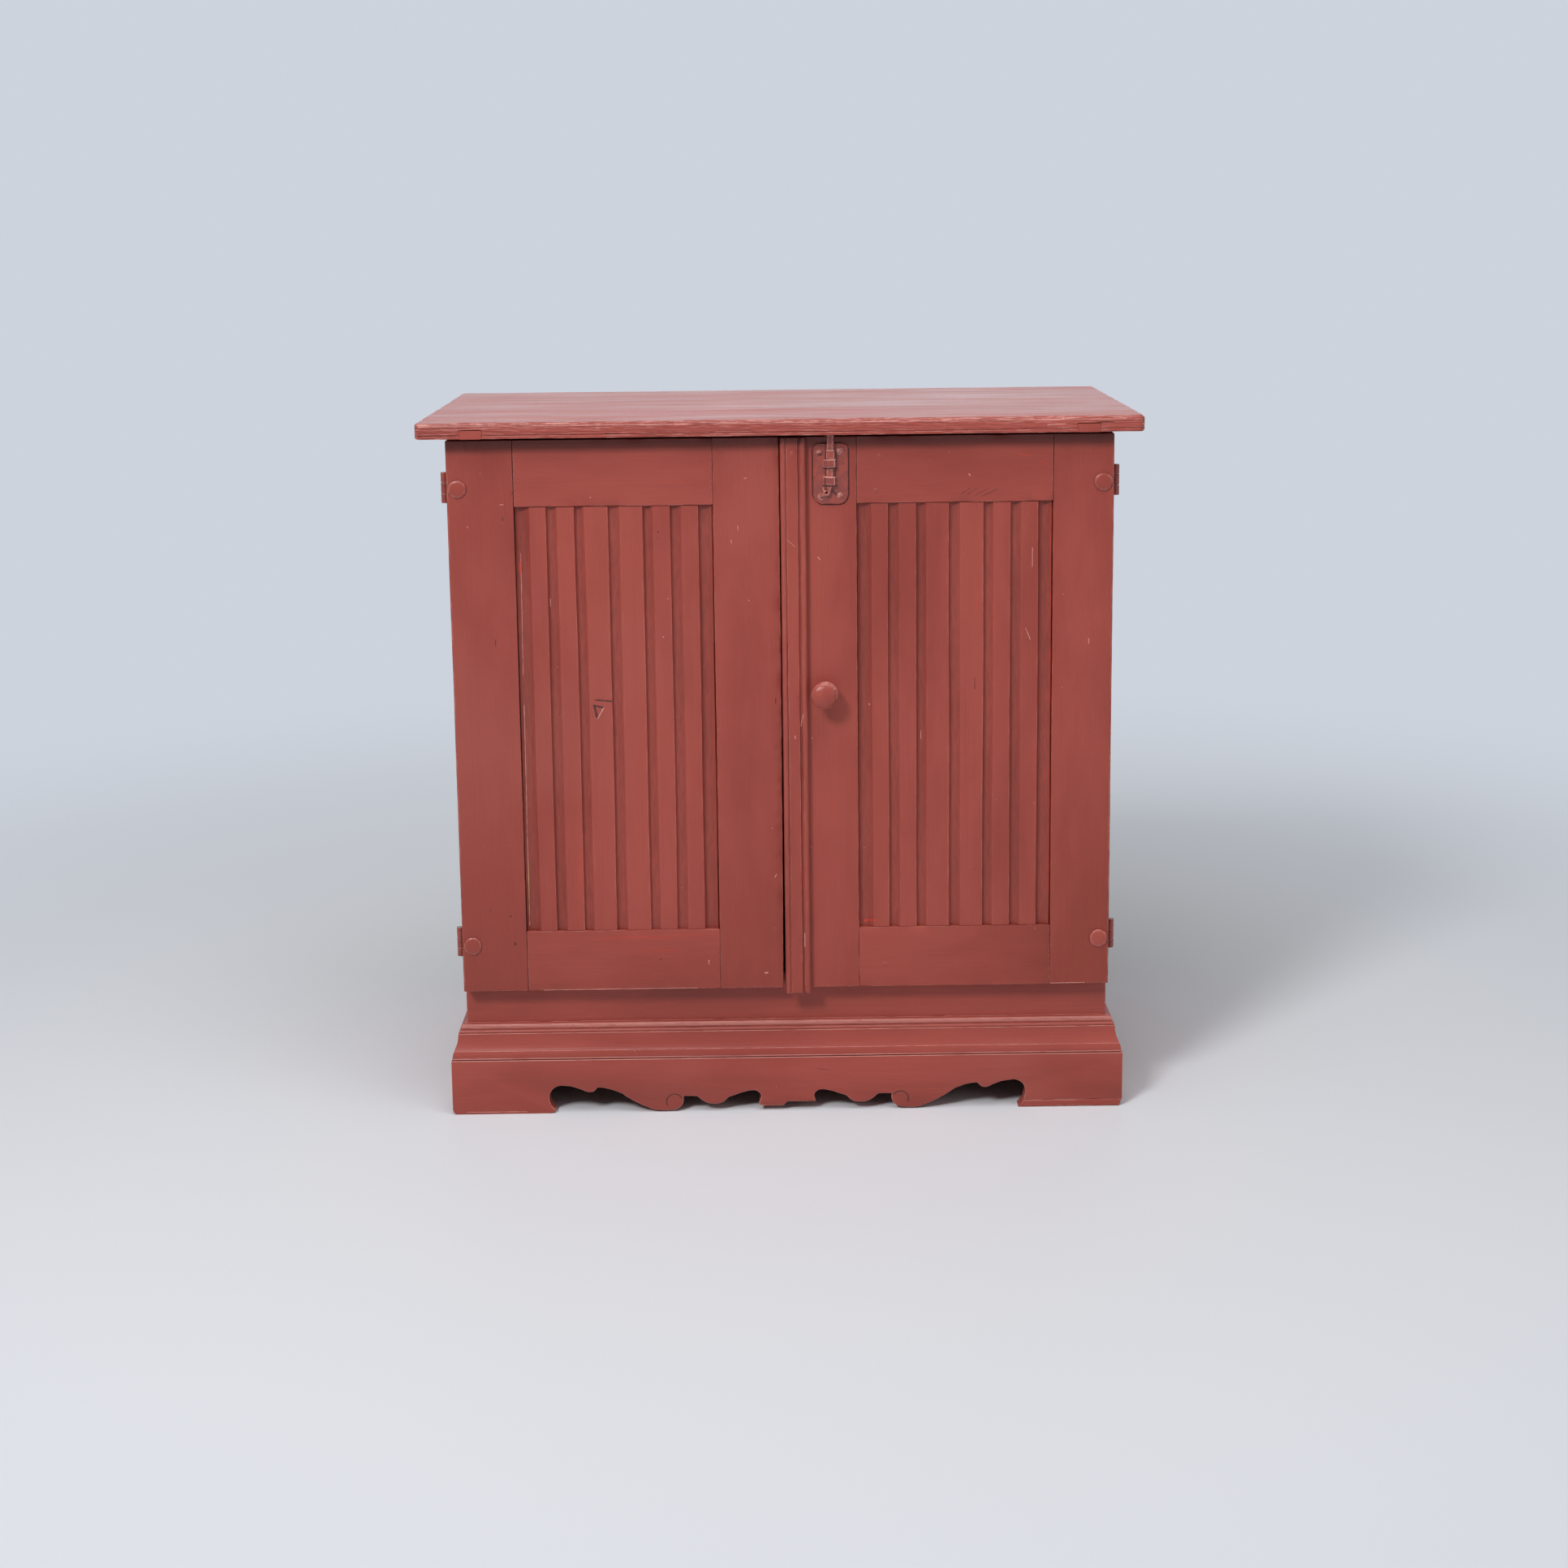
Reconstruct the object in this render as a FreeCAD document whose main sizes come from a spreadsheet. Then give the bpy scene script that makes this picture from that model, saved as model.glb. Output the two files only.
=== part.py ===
import FreeCAD, Part
import math
import os
import re

from FreeCAD import Vector

# A painted two-door cupboard: a board case on an applied plinth with a scroll-cut apron,
# framed doors with fluted panels, forged hinges and a sliding bolt.
# Millimetres. X runs to the viewer's right, the doors face -Y, Z is up and the floor is Z = 0.

# Driving sizes

SIZES = {
    # The top board and the case
    "total_height": (932, "floor to the upper face of the top board"),
    "top_width": (930, "top board, side to side"),
    "top_depth": (490, "top board, front to back"),
    "top_thickness": (21, "top board"),
    "top_front_overhang": (46, "top board past the case front"),
    "top_back_overhang": (6, "top board past the back boards"),
    "top_corner_clip": (7, "clipped back corners of the top board"),
    "top_arris_radius": (5, "rounded upper front edge of the top board"),
    "top_end_radius": (6, "rounded lower edge at the ends of the top board"),
    "quirk_height": (4, "quirk line above the lower front edge of the top board"),
    "quirk_width": (1.6, "width of the quirk line"),
    "quirk_depth": (1.2, "depth of the quirk line"),
    "top_side_overhang": (36, "top board past the side boards"),
    "side_thickness": (18, "side boards"),
    "dado_depth": (6, "groove in each side board for the bottom board"),
    "rail_thickness": (18, "front rail"),
    "rail_top_height": (187, "floor to the upper edge of the front rail"),
    "rail_bottom_height": (60, "floor to the lower edge of the front rail"),
    "bottom_thickness": (18, "bottom board"),
    "back_thickness": (14, "back boards"),
    "back_rabbet_depth": (10, "rabbet in each side board for the back boards"),
    "back_bottom_height": (30, "floor to the lower ends of the back boards"),
    "back_board_gap": (1, "shrinkage gap between back boards"),
    # Sliding-dovetail cleats under the top board
    "cleat_width": (36, "cleat below the top board"),
    "cleat_height": (26, "cleat below the top board"),
    "dovetail_height": (11, "dovetail let into the top board"),
    "dovetail_wide": (30, "dovetail at its upper face"),
    "dovetail_narrow": (26, "dovetail at the underside of the top board"),
    "dovetail_clearance": (0.2, "dovetail in its groove"),
    # The shelf
    "shelf_height": (548, "floor to the underside of the shelf"),
    "shelf_thickness": (18, "shelf"),
    "shelf_setback": (26, "shelf behind the case front"),
    "shelf_side_gap": (1, "shelf to the side boards and back boards"),
    "bearer_width": (20, "shelf bearers, out from the side boards"),
    "bearer_height": (26, "shelf bearers"),
    # The plinth and its moulding
    "plinth_thickness": (21, "plinth boards"),
    "plinth_height": (75, "plinth boards"),
    "plinth_corner_radius": (8, "worn lower corners of the plinth front"),
    "moulding_height": (48, "base moulding above the plinth boards"),
    "scroll_reach": (320, "apron scroll, centre line to the foot"),
    "scroll_rise": (39, "apron scroll above the floor"),
    "lip_drop": (5.5, "unbroken half of the centre drop below the broken half"),
    "lip_width": (37.5, "unbroken half of the centre drop"),
    "volute_radius": (11.5, "incised curl on the apron"),
    "incision_width": (1.6, "incised line of the curl"),
    "incision_depth": (1.2, "incised line of the curl"),
    "shoe_height": (10.5, "packing shoe under the right foot"),
    "shoe_slant": (8, "slant of the shoe's inner end"),
    "block_width": (30, "glue blocks behind the apron"),
    "block_height": (48, "glue blocks behind the apron"),
    # The doors
    "door_thickness": (22, "door frames"),
    "door_back_gap": (1, "door back to the case front"),
    "door_top_gap": (4, "door top to the top board"),
    "door_bottom_height": (173, "floor to the lower edge of the doors"),
    "door_meeting_gap": (3, "between the two doors"),
    "left_outer_stile": (86, "left door, stile at the hinges"),
    "left_inner_stile": (86, "left door, stile at the middle"),
    "right_outer_stile": (78.5, "right door, stile at the hinges"),
    "right_inner_stile": (96, "right door, stile at the middle"),
    "top_rail_width": (86, "top rails of the doors"),
    "bottom_rail_width": (82, "bottom rails of the doors"),
    "meeting_edge_radius": (5, "rounded free edge of the left door"),
    "stile_edge_radius": (2, "eased edges of the other stiles"),
    "groove_depth": (10, "panel groove in the door frames"),
    "tongue_thickness": (7, "tongue round each panel"),
    "joint_clearance": (0.2, "tongues, tenons and pegs in their seats"),
    "tenon_length": (52, "rail tenons in the stiles"),
    "tenon_shoulder": (12, "tenon below the rail's edges"),
    "peg_width": (6, "square pegs through the tenons"),
    "peg_stop": (5, "wood left in front of each peg"),
    "panel_recess": (1, "panel ribs behind the frame's face"),
    "field_thickness": (9, "fluted field in front of the tongue"),
    "flute_depth": (8, "hollows of the panels"),
    "panel_gap": (0.8, "fluted field to the stiles"),
    # The cover strip
    "strip_width": (33.5, "cover strip on the right door"),
    "strip_thickness": (10, "cover strip"),
    "strip_drop": (5, "cover strip below the doors"),
    # Hinges
    "hinge_upper_drop": (62, "door tops to the middle of the upper hinges"),
    "hinge_lower_rise": (63, "door bottoms to the middle of the lower hinges"),
    "hinge_height": (40, "hinges"),
    "knuckle_radius": (4.3, "hinge knuckles"),
    "knuckle_height": (14, "middle knuckle of each hinge"),
    "knuckle_gap": (0.3, "between knuckles"),
    "knuckle_offset": (5.2, "hinge pin outside the door's edge"),
    "pin_radius": (2.2, "hinge pins"),
    "pin_clearance": (0.06, "hinge pins in the knuckles"),
    "leaf_thickness": (1.6, "hinge leaves"),
    "door_leaf_reach": (30, "door leaf in from the door's edge"),
    "case_leaf_reach": (14, "case leaf in from the case's side"),
    "rivet_inset": (14, "rivets in from the door's edge"),
    "rivet_head_radius": (12, "rivet heads"),
    "rivet_head_height": (3.2, "rivet heads"),
    "rivet_width": (4.5, "square shanks of the rivets"),
    # The knob
    "knob_to_strip": (19, "cover strip to the middle of the knob"),
    "knob_rise": (400, "door bottoms to the middle of the knob"),
    "knob_length": (34, "knob in front of the door"),
    "knob_radius": (15.5, "cap of the knob"),
    "knob_shank_radius": (5, "shank of the knob in the stile"),
    "knob_shank_length": (17, "shank of the knob in the stile"),
    # The bolt, its plate and its straps
    "plate_to_strip": (8.3, "cover strip to the bolt plate"),
    "plate_width": (45, "bolt plate"),
    "plate_drop": (8.5, "door tops to the top of the bolt plate"),
    "plate_height": (78, "bolt plate"),
    "plate_thickness": (1.6, "bolt plate"),
    "plate_upper_round": (6, "upper corners of the bolt plate"),
    "plate_lower_round": (10, "lower corners of the bolt plate"),
    "nail_inset": (8, "nails in from the bolt plate's edges"),
    "nail_head_width": (8, "nail heads"),
    "nail_head_height": (2.6, "nail heads"),
    "nail_width": (2.6, "square shanks of the nails"),
    "nail_length": (10, "nail shanks from under the head"),
    "bolt_inset": (21.7, "bolt plate's left edge to the middle of the bolt"),
    "bolt_width": (9, "bolt bar"),
    "bolt_thickness": (5, "bolt bar"),
    "bolt_clearance": (0.4, "bolt in its straps and over its plate"),
    "bolt_top_gap": (1, "bolt's tip below the top board at rest"),
    "bolt_travel": (6, "throw of the bolt"),
    "bolt_shoulder_width": (10.6, "shoulder that rests on the upper strap"),
    "bolt_shoulder_height": (12, "shoulder that rests on the upper strap"),
    "bolt_shoulder_thickness": (7.6, "shoulder that rests on the upper strap"),
    "bolt_curl_radius": (4.2, "curled tail of the bolt"),
    "strap_height": (11, "straps, up the bolt"),
    "strap_thickness": (1.4, "straps"),
    "strap_foot": (2.4, "straps' feet beside the bolt"),
    "upper_strap_drop": (30.7, "top of the bolt plate to the underside of the upper strap"),
    "strap_spacing": (22.4, "upper strap to lower strap"),
}

# Places worked out from the driving sizes

PLACES = {
    "half_case": "top_width / 2 - top_side_overhang",
    "side_inner": "half_case - side_thickness",
    "knob_past_top": "knob_length + door_thickness + door_back_gap - top_front_overhang",
    "top_front": "(knob_past_top - top_depth) / 2",
    "top_back": "top_front + top_depth",
    "top_underside": "total_height - top_thickness",
    "case_front": "top_front + top_front_overhang",
    "case_back": "top_back - top_back_overhang",
    "back_face": "case_back - back_thickness",
    "rail_back": "case_front + rail_thickness",
    "floor_level": "rail_top_height - bottom_thickness",
    "plinth_half": "half_case + plinth_thickness",
    "cleat_centre": "side_inner - cleat_width / 2",
    "door_back": "case_front - door_back_gap",
    "door_face": "door_back - door_thickness",
    "door_top": "top_underside - door_top_gap",
    "door_height": "door_top - door_bottom_height",
    "half_meeting": "door_meeting_gap / 2",
    "opening_bottom": "door_bottom_height + bottom_rail_width",
    "opening_top": "door_top - top_rail_width",
    "opening_height": "opening_top - opening_bottom",
    "tongue_front": "door_face + panel_recess + field_thickness",
    "tongue_back": "tongue_front + tongue_thickness",
    "pin_x": "half_case + knuckle_offset",
    "pin_y": "case_front - door_back_gap / 2",
    "hinge_upper": "door_top - hinge_upper_drop",
    "hinge_lower": "door_bottom_height + hinge_lower_rise",
    "knob_centre": "strip_width + knob_to_strip",
    "knob_level": "door_bottom_height + knob_rise",
    "plate_left": "strip_width + plate_to_strip",
    "plate_top": "door_top - plate_drop",
    "dome_radius": "(rivet_head_radius ^ 2 + rivet_head_height ^ 2) / (2 * rivet_head_height)",
    "plate_face": "door_face - plate_thickness",
    "bolt_back": "plate_face - bolt_clearance",
    "bolt_front": "bolt_back - bolt_thickness",
    "bolt_top": "top_underside - bolt_top_gap",
    "bolt_centre": "plate_left + bolt_inset",
    "upper_strap_level": "plate_top - upper_strap_drop",
    "upper_strap_top": "upper_strap_level + strap_height",
    "lower_strap_level": "upper_strap_level - strap_spacing",
}

# Shape tables, chosen by hand

# Right half of the apron's edge, from the centre line outwards: across as shares of
# scroll_reach and up as shares of scroll_rise. Three numbers more are an arc's middle.
SCROLL_SHARES = [
    ("line", (0.119, 0.320)),
    ("line", (0.110, 0.480)),
    ("arc", (0.122, 0.680), (0.148, 0.740)),
    ("arc", (0.183, 0.690), (0.225, 0.555)),
    ("line", (0.237, 0.545)),
    ("line", (0.250, 0.490)),
    ("arc", (0.273, 0.325), (0.306, 0.268)),
    ("arc", (0.342, 0.325), (0.369, 0.480)),
    ("line", (0.381, 0.560)),
    ("line", (0.438, 0.565)),
    ("arc", (0.448, 0.190), (0.488, 0.072)),
    ("arc", (0.525, 0.056), (0.560, 0.092)),
    ("arc", (0.630, 0.345), (0.694, 0.672)),
    ("arc", (0.745, 0.850), (0.797, 0.915)),
    ("line", (0.808, 0.800)),
    ("arc", (0.824, 0.745), (0.846, 0.775)),
    ("arc", (0.890, 0.925), (0.934, 0.990)),
    ("arc", (0.984, 0.880), (1.000, 0.590)),
    ("arc", (0.994, 0.330), (0.972, 0.120)),
]
FOOT_SHARE = 0.990
SHOE_SHARE = 0.992
VOLUTE_SHARES = (0.474, 0.365)
CURL_DEGREES = ((28, 200), (-20, 152))

# The base moulding's outline from the plinth's top upwards: out from the case as shares of
# plinth_thickness and up as shares of moulding_height.
MOULDING_SHARES = [
    ("line", (0.965, 0.000)),
    ("line", (0.965, 0.050)),
    ("line", (0.915, 0.065)),
    ("arc", (0.865, 0.185), (0.745, 0.305)),
    ("arc", (0.605, 0.480), (0.540, 0.695)),
    ("line", (0.540, 0.730)),
    ("line", (0.470, 0.730)),
    ("arc", (0.500, 0.775), (0.425, 0.815)),
    ("line", (0.350, 0.815)),
    ("line", (0.350, 0.865)),
    ("arc", (0.335, 0.940), (0.170, 0.985)),
    ("line", (0.000, 1.000)),
]

# Edges of the seven hollows across a panel, as shares of its width.
HOLLOW_SHARES = [
    (0.000, 0.072),
    (0.156, 0.214),
    (0.301, 0.354),
    (0.470, 0.530),
    (0.646, 0.699),
    (0.786, 0.844),
    (0.928, 1.000),
]

# The cover strip's face from its left edge: across as shares of strip_width and out as
# shares of strip_thickness.
STRIP_SHARES = [
    ("line", (0.000, 0.620)),
    ("arc", (0.110, 1.000), (0.220, 0.700)),
    ("line", (0.240, 0.820)),
    ("line", (0.680, 0.820)),
    ("arc", (0.725, 0.560), (0.770, 0.820)),
    ("arc", (0.885, 1.000), (1.000, 0.560)),
    ("line", (1.000, 0.000)),
]

# The knob's outline from the door's face outwards: a neck, a ring, a groove and a domed cap.
# Radius as shares of knob_radius, out as shares of knob_length.
KNOB_SHARES = [
    (0.480, 0.000),
    (0.480, 0.360),
    (0.960, 0.440),
    (0.960, 0.630),
    (0.880, 0.630),
    (0.880, 0.680),
    (1.000, 0.680),
    (1.000, 0.760),
    (0.800, 0.925),
    (0.400, 1.000),
    (0.000, 1.000),
]

# The document and its sheets

doc = FreeCAD.newDocument("cupboard")
sizes = doc.addObject("Spreadsheet::Sheet", "sizes")
places = doc.addObject("Spreadsheet::Sheet", "places")


def formula(text):
    """A formula in the names of the sheets, with each name's sheet put before it."""
    def with_sheet(match):
        word = match.group(0)
        if word in SIZES:
            return "sizes." + word
        if word in PLACES:
            return "places." + word
        return word
    return re.sub(r"[a-z_]+", with_sheet, text)


def fill_sheets():
    """Write the driving sizes as numbers and the places as formulas."""
    for row, (alias, (value, meaning)) in enumerate(SIZES.items(), start=1):
        sizes.set("A%d" % row, alias)
        sizes.set("B%d" % row, str(value))
        sizes.setAlias("B%d" % row, alias)
        sizes.set("C%d" % row, meaning)
    doc.recompute()
    for row, (alias, text) in enumerate(PLACES.items(), start=1):
        places.set("A%d" % row, alias)
        places.setAlias("B%d" % row, alias)
    for row, (alias, text) in enumerate(PLACES.items(), start=1):
        places.set("B%d" % row, "=" + formula(text).replace("places.", ""))
    doc.recompute()


def get(name):
    """The value of a size or a place."""
    if name in SIZES:
        return float(sizes.get(name))
    return float(places.get(name))


def bind(item, prop, text):
    """Bind a property to a formula in the names of the sheets."""
    item.setExpression(prop, formula(text))


NODES = []


def node(item, label):
    """Name an object as a sub-part that is written out."""
    item.Label = label
    NODES.append(item)
    return item


def negative(text):
    return "-(" + text + ")"


def sided(hand, low, high):
    """A span across the case, given for the right side and mirrored for the left."""
    if hand > 0:
        return low, high
    return negative(high), negative(low)


def side_name(hand):
    return "right" if hand > 0 else "left"


# Part primitives and booleans

def box(name, across, along, up):
    """A box between three pairs of formulas."""
    item = doc.addObject("Part::Box", name)
    for prop, place, (low, high) in (
        ("Length", "x", across),
        ("Width", "y", along),
        ("Height", "z", up),
    ):
        bind(item, prop, "(" + high + ") - (" + low + ")")
        bind(item, "Placement.Base." + place, low)
    return item


def cylinder(name, centre, radius, height, turn=None):
    """A cylinder up Z, or along the axis that turn brings Z to."""
    item = doc.addObject("Part::Cylinder", name)
    if turn is not None:
        item.Placement = FreeCAD.Placement(Vector(), turn)
    bind(item, "Radius", radius)
    bind(item, "Height", height)
    for place, text in zip("xyz", centre):
        bind(item, "Placement.Base." + place, text)
    return item


def square_bar(name, across, level, width, along):
    """A bar of square section that runs from front to back."""
    spans = []
    for middle in (across, level):
        spans.append((middle + " - (" + width + ") / 2", middle + " + (" + width + ") / 2"))
    return box(name, spans[0], along, spans[1])


ALONG_Y = FreeCAD.Rotation(Vector(1, 0, 0), -90)
TOWARDS_VIEWER = FreeCAD.Rotation(Vector(1, 0, 0), 90)


def fused(name, parts):
    item = doc.addObject("Part::MultiFuse", name)
    item.Shapes = parts
    item.Refine = True
    return item


def cut(name, base, tools):
    """The base less its tools."""
    item = doc.addObject("Part::Cut", name)
    item.Base = base
    item.Tool = tools[0] if len(tools) == 1 else fused(name + "_tools", tools)
    item.Refine = True
    return item


def group(name, parts):
    """Separate solids kept in one sub-part."""
    item = doc.addObject("Part::Compound", name)
    item.Links = parts
    return item


def edges_where(shape, test):
    """Names of the edges whose two ends both pass a test."""
    names = []
    for number, edge in enumerate(shape.Edges, start=1):
        ends = [vertex.Point for vertex in edge.Vertexes]
        if len(ends) == 2 and all(test(end) for end in ends):
            names.append((number, "Edge%d" % number))
    return names


def eased(name, base, radius_name, test):
    """A Part fillet on the edges that pass a test."""
    doc.recompute()
    item = doc.addObject("Part::Fillet", name)
    item.Base = base
    radius = get(radius_name)
    item.Edges = [(number, radius, radius) for number, edge in edges_where(base.Shape, test)]
    return item


def near(value, other):
    return abs(value - other) < TOUCH * get("total_height")


TOUCH = 1e-6

# Sketches and bodies


def body(label):
    item = doc.addObject("PartDesign::Body", label + "_body")
    return node(item, label)


def plane(owner, role):
    """One of the body's own origin planes."""
    for feature in owner.Origin.OriginFeatures:
        if feature.Role == role:
            return feature
    raise RuntimeError("no plane " + role)


def sketch(owner, name, role, edges, offset=None):
    """A sketch of ready edges on one of the body's origin planes."""
    item = owner.newObject("Sketcher::SketchObject", name)
    item.AttachmentSupport = [(plane(owner, role), "")]
    item.MapMode = "FlatFace"
    if offset is not None:
        bind(item, "AttachmentOffset.Base.z", offset)
    item.addGeometry(edges, False)
    return item


def outline(start, steps, across, up):
    """Edges of an outline whose points are shares of two lengths."""
    edges = []
    here = Vector(start[0] * across, start[1] * up, 0)
    for step in steps:
        points = [Vector(share[0] * across, share[1] * up, 0) for share in step[1:]]
        if step[0] == "line":
            edges.append(Part.LineSegment(here, points[0]))
        else:
            edges.append(Part.Arc(here, points[0], points[1]))
        here = points[-1]
    return edges


def polygon(points):
    """Edges round a closed list of points."""
    corners = [Vector(x, y, 0) for x, y in points]
    return [Part.LineSegment(a, b) for a, b in zip(corners, corners[1:] + corners[:1])]


def mirrored(edges):
    """Edges turned over to the other side of the upright axis."""
    flip = FreeCAD.Matrix(-1, 0, 0, 0, 0, 1, 0, 0, 0, 0, 1, 0, 0, 0, 0, 1)
    turned = []
    for edge in edges:
        start = flip.multVec(edge.StartPoint)
        end = flip.multVec(edge.EndPoint)
        if isinstance(edge, Part.LineSegment):
            turned.append(Part.LineSegment(start, end))
        else:
            middle = edge.value((edge.FirstParameter + edge.LastParameter) / 2)
            turned.append(Part.Arc(start, flip.multVec(middle), end))
    return turned


def pad(owner, name, profile, length, reverse=False):
    item = owner.newObject("PartDesign::Pad", name)
    item.Profile = profile
    item.Reversed = reverse
    bind(item, "Length", length)
    doc.recompute()
    return item


def pocket(owner, name, profile, length, reverse):
    """A pocket that has to take wood away."""
    before = owner.Shape.Volume
    item = owner.newObject("PartDesign::Pocket", name)
    item.Profile = profile
    item.Reversed = reverse
    if length is None:
        item.Type = "ThroughAll"
        item.Midplane = True
    else:
        bind(item, "Length", length)
    doc.recompute()
    if not item.Shape.Volume < before:
        raise RuntimeError(name + " cuts nothing")
    return item


def fillet(owner, name, radius, test):
    """A fillet on the edges of the body's last feature that pass a test."""
    base = owner.Tip
    item = owner.newObject("PartDesign::Fillet", name)
    item.Base = (base, [edge for number, edge in edges_where(base.Shape, test)])
    bind(item, "Radius", radius)
    doc.recompute()
    return item


def place(item, across, along, up):
    for name, text in zip("xyz", (across, along, up)):
        bind(item, "Placement.Base." + name, text)


# Top board


def dovetail(clearance):
    """Points of the dovetail's section about its own middle, on the top's underside."""
    narrow = get("dovetail_narrow") / 2 + clearance
    wide = get("dovetail_wide") / 2 + clearance
    high = get("dovetail_height") + clearance
    return [(-narrow, 0), (narrow, 0), (wide, high), (-wide, high)]


def make_top_board():
    top = body("top_board")
    place(top, "0", "top_front", "top_underside")
    half = get("top_width") / 2
    depth = get("top_depth")
    thick = get("top_thickness")
    clip = get("top_corner_clip")
    outer = [(-half, 0), (half, 0), (half, depth - clip), (half - clip, depth)]
    outer += [(-half + clip, depth), (-half, depth - clip)]
    board = sketch(top, "top_outline", "XY_Plane", polygon(outer))
    pad(top, "top_pad", board, "top_thickness")
    fillet(top, "top_front_round", "top_arris_radius", lambda p: near(p.y, 0) and near(p.z, thick))
    for hand in (-1, 1):
        fillet(top, "top_end_round_" + side_name(hand), "top_end_radius",
               lambda p, hand=hand: near(p.x, hand * half) and near(p.z, 0))
    # Quirk line along the front edge
    low = get("quirk_height")
    line = [(0, low), (get("quirk_depth"), low), (get("quirk_depth"), low + get("quirk_width"))]
    line.append((0, low + get("quirk_width")))
    quirk = sketch(top, "quirk_section", "YZ_Plane", polygon(line))
    pocket(top, "quirk", quirk, None, False)
    # Grooves for the cleats' dovetails
    for hand in (-1, 1):
        middle = hand * get("cleat_centre")
        section = [(middle + x, y) for x, y in dovetail(get("dovetail_clearance"))]
        groove = sketch(top, "cleat_groove_section_" + side_name(hand), "XZ_Plane", polygon(section))
        pocket(top, "cleat_groove_" + side_name(hand), groove, None, False)
    # Socket for the bolt
    slack = 2 * get("bolt_clearance")
    left = get("bolt_centre") - get("bolt_width") / 2 - slack
    right = get("bolt_centre") + get("bolt_width") / 2 + slack
    front = get("bolt_front") - get("top_front") - slack
    back = get("bolt_back") - get("top_front") + slack
    hole = sketch(top, "bolt_socket_section", "XY_Plane",
                  polygon([(left, front), (right, front), (right, back), (left, back)]))
    pocket(top, "bolt_socket", hole, "bolt_travel + bolt_top_gap", True)


def make_cleats():
    """Cleats whose dovetails run through the top board from front to back."""
    for hand in (-1, 1):
        cleat = body("top_cleat_" + side_name(hand))
        centre, unused = sided(hand, "cleat_centre", "cleat_centre")
        place(cleat, centre, "top_front", "top_underside")
        key = sketch(cleat, "key_section_" + side_name(hand), "XZ_Plane", polygon(dovetail(0)))
        pad(cleat, "key_" + side_name(hand), key, "top_depth", True)
        half = get("cleat_width") / 2
        deep = get("cleat_height")
        under = sketch(cleat, "batten_section_" + side_name(hand), "XZ_Plane",
                       polygon([(-half, -deep), (half, -deep), (half, 0), (-half, 0)]),
                       "-top_front_overhang")
        pad(cleat, "batten_" + side_name(hand), under,
            "case_back - back_thickness - case_front", True)


# Case


def hinge_levels():
    return (("upper", "hinge_upper"), ("lower", "hinge_lower"))


def make_sides():
    """Side boards from the floor to the top board."""
    for hand in (-1, 1):
        side = side_name(hand)
        board = box("board_" + side, sided(hand, "side_inner", "half_case"),
                    ("case_front", "case_back"), ("0", "top_underside"))
        tools = [
            box("rail_notch_" + side, sided(hand, "side_inner", "half_case"),
                ("case_front", "rail_back"), ("rail_bottom_height", "rail_top_height")),
            box("bottom_dado_" + side, sided(hand, "side_inner", "side_inner + dado_depth"),
                ("rail_back", "back_face"), ("floor_level", "rail_top_height")),
            box("back_rabbet_" + side, sided(hand, "side_inner", "side_inner + back_rabbet_depth"),
                ("back_face", "case_back"), ("back_bottom_height", "top_underside")),
        ]
        for level, height in hinge_levels():
            tools.append(box("leaf_seat_" + level + "_" + side,
                             sided(hand, "half_case - case_leaf_reach", "half_case"),
                             ("case_front", "case_front + leaf_thickness"),
                             (height + " - hinge_height / 2", height + " + hinge_height / 2")))
        node(cut("side_cut_" + side, board, tools), "side_" + side)


def make_case_boards():
    node(box("front_rail_box", ("-half_case", "half_case"), ("case_front", "rail_back"),
             ("rail_bottom_height", "rail_top_height")), "front_rail")
    node(box("bottom_box", ("-(side_inner + dado_depth)", "side_inner + dado_depth"),
             ("rail_back", "back_face"), ("floor_level", "rail_top_height")), "bottom_board")
    node(box("shelf_box", ("-(side_inner - shelf_side_gap)", "side_inner - shelf_side_gap"),
             ("case_front + shelf_setback", "back_face - shelf_side_gap"),
             ("shelf_height", "shelf_height + shelf_thickness")), "shelf")
    for hand in (-1, 1):
        side = side_name(hand)
        node(box("bearer_" + side, sided(hand, "side_inner - bearer_width", "side_inner"),
                 ("case_front + shelf_setback", "back_face"),
                 ("shelf_height - bearer_height", "shelf_height")), "shelf_bearer_" + side)
        node(box("block_" + side, sided(hand, "side_inner - block_width", "side_inner"),
                 ("case_front", "case_front + block_width"),
                 ("rail_bottom_height - block_height", "rail_bottom_height")),
             "glue_block_" + side)
    # Three back boards with a gap between each two
    span = "(2 * (side_inner + back_rabbet_depth) + back_board_gap)"
    for number, name in enumerate(("left", "middle", "right")):
        low = "-(side_inner + back_rabbet_depth) + %s * %d / 3" % (span, number)
        high = low + " + %s / 3 - back_board_gap" % span
        node(box("back_" + name, (low, high), ("back_face", "case_back"),
                 ("back_bottom_height", "top_underside")), "back_board_" + name)


# Plinth


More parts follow.
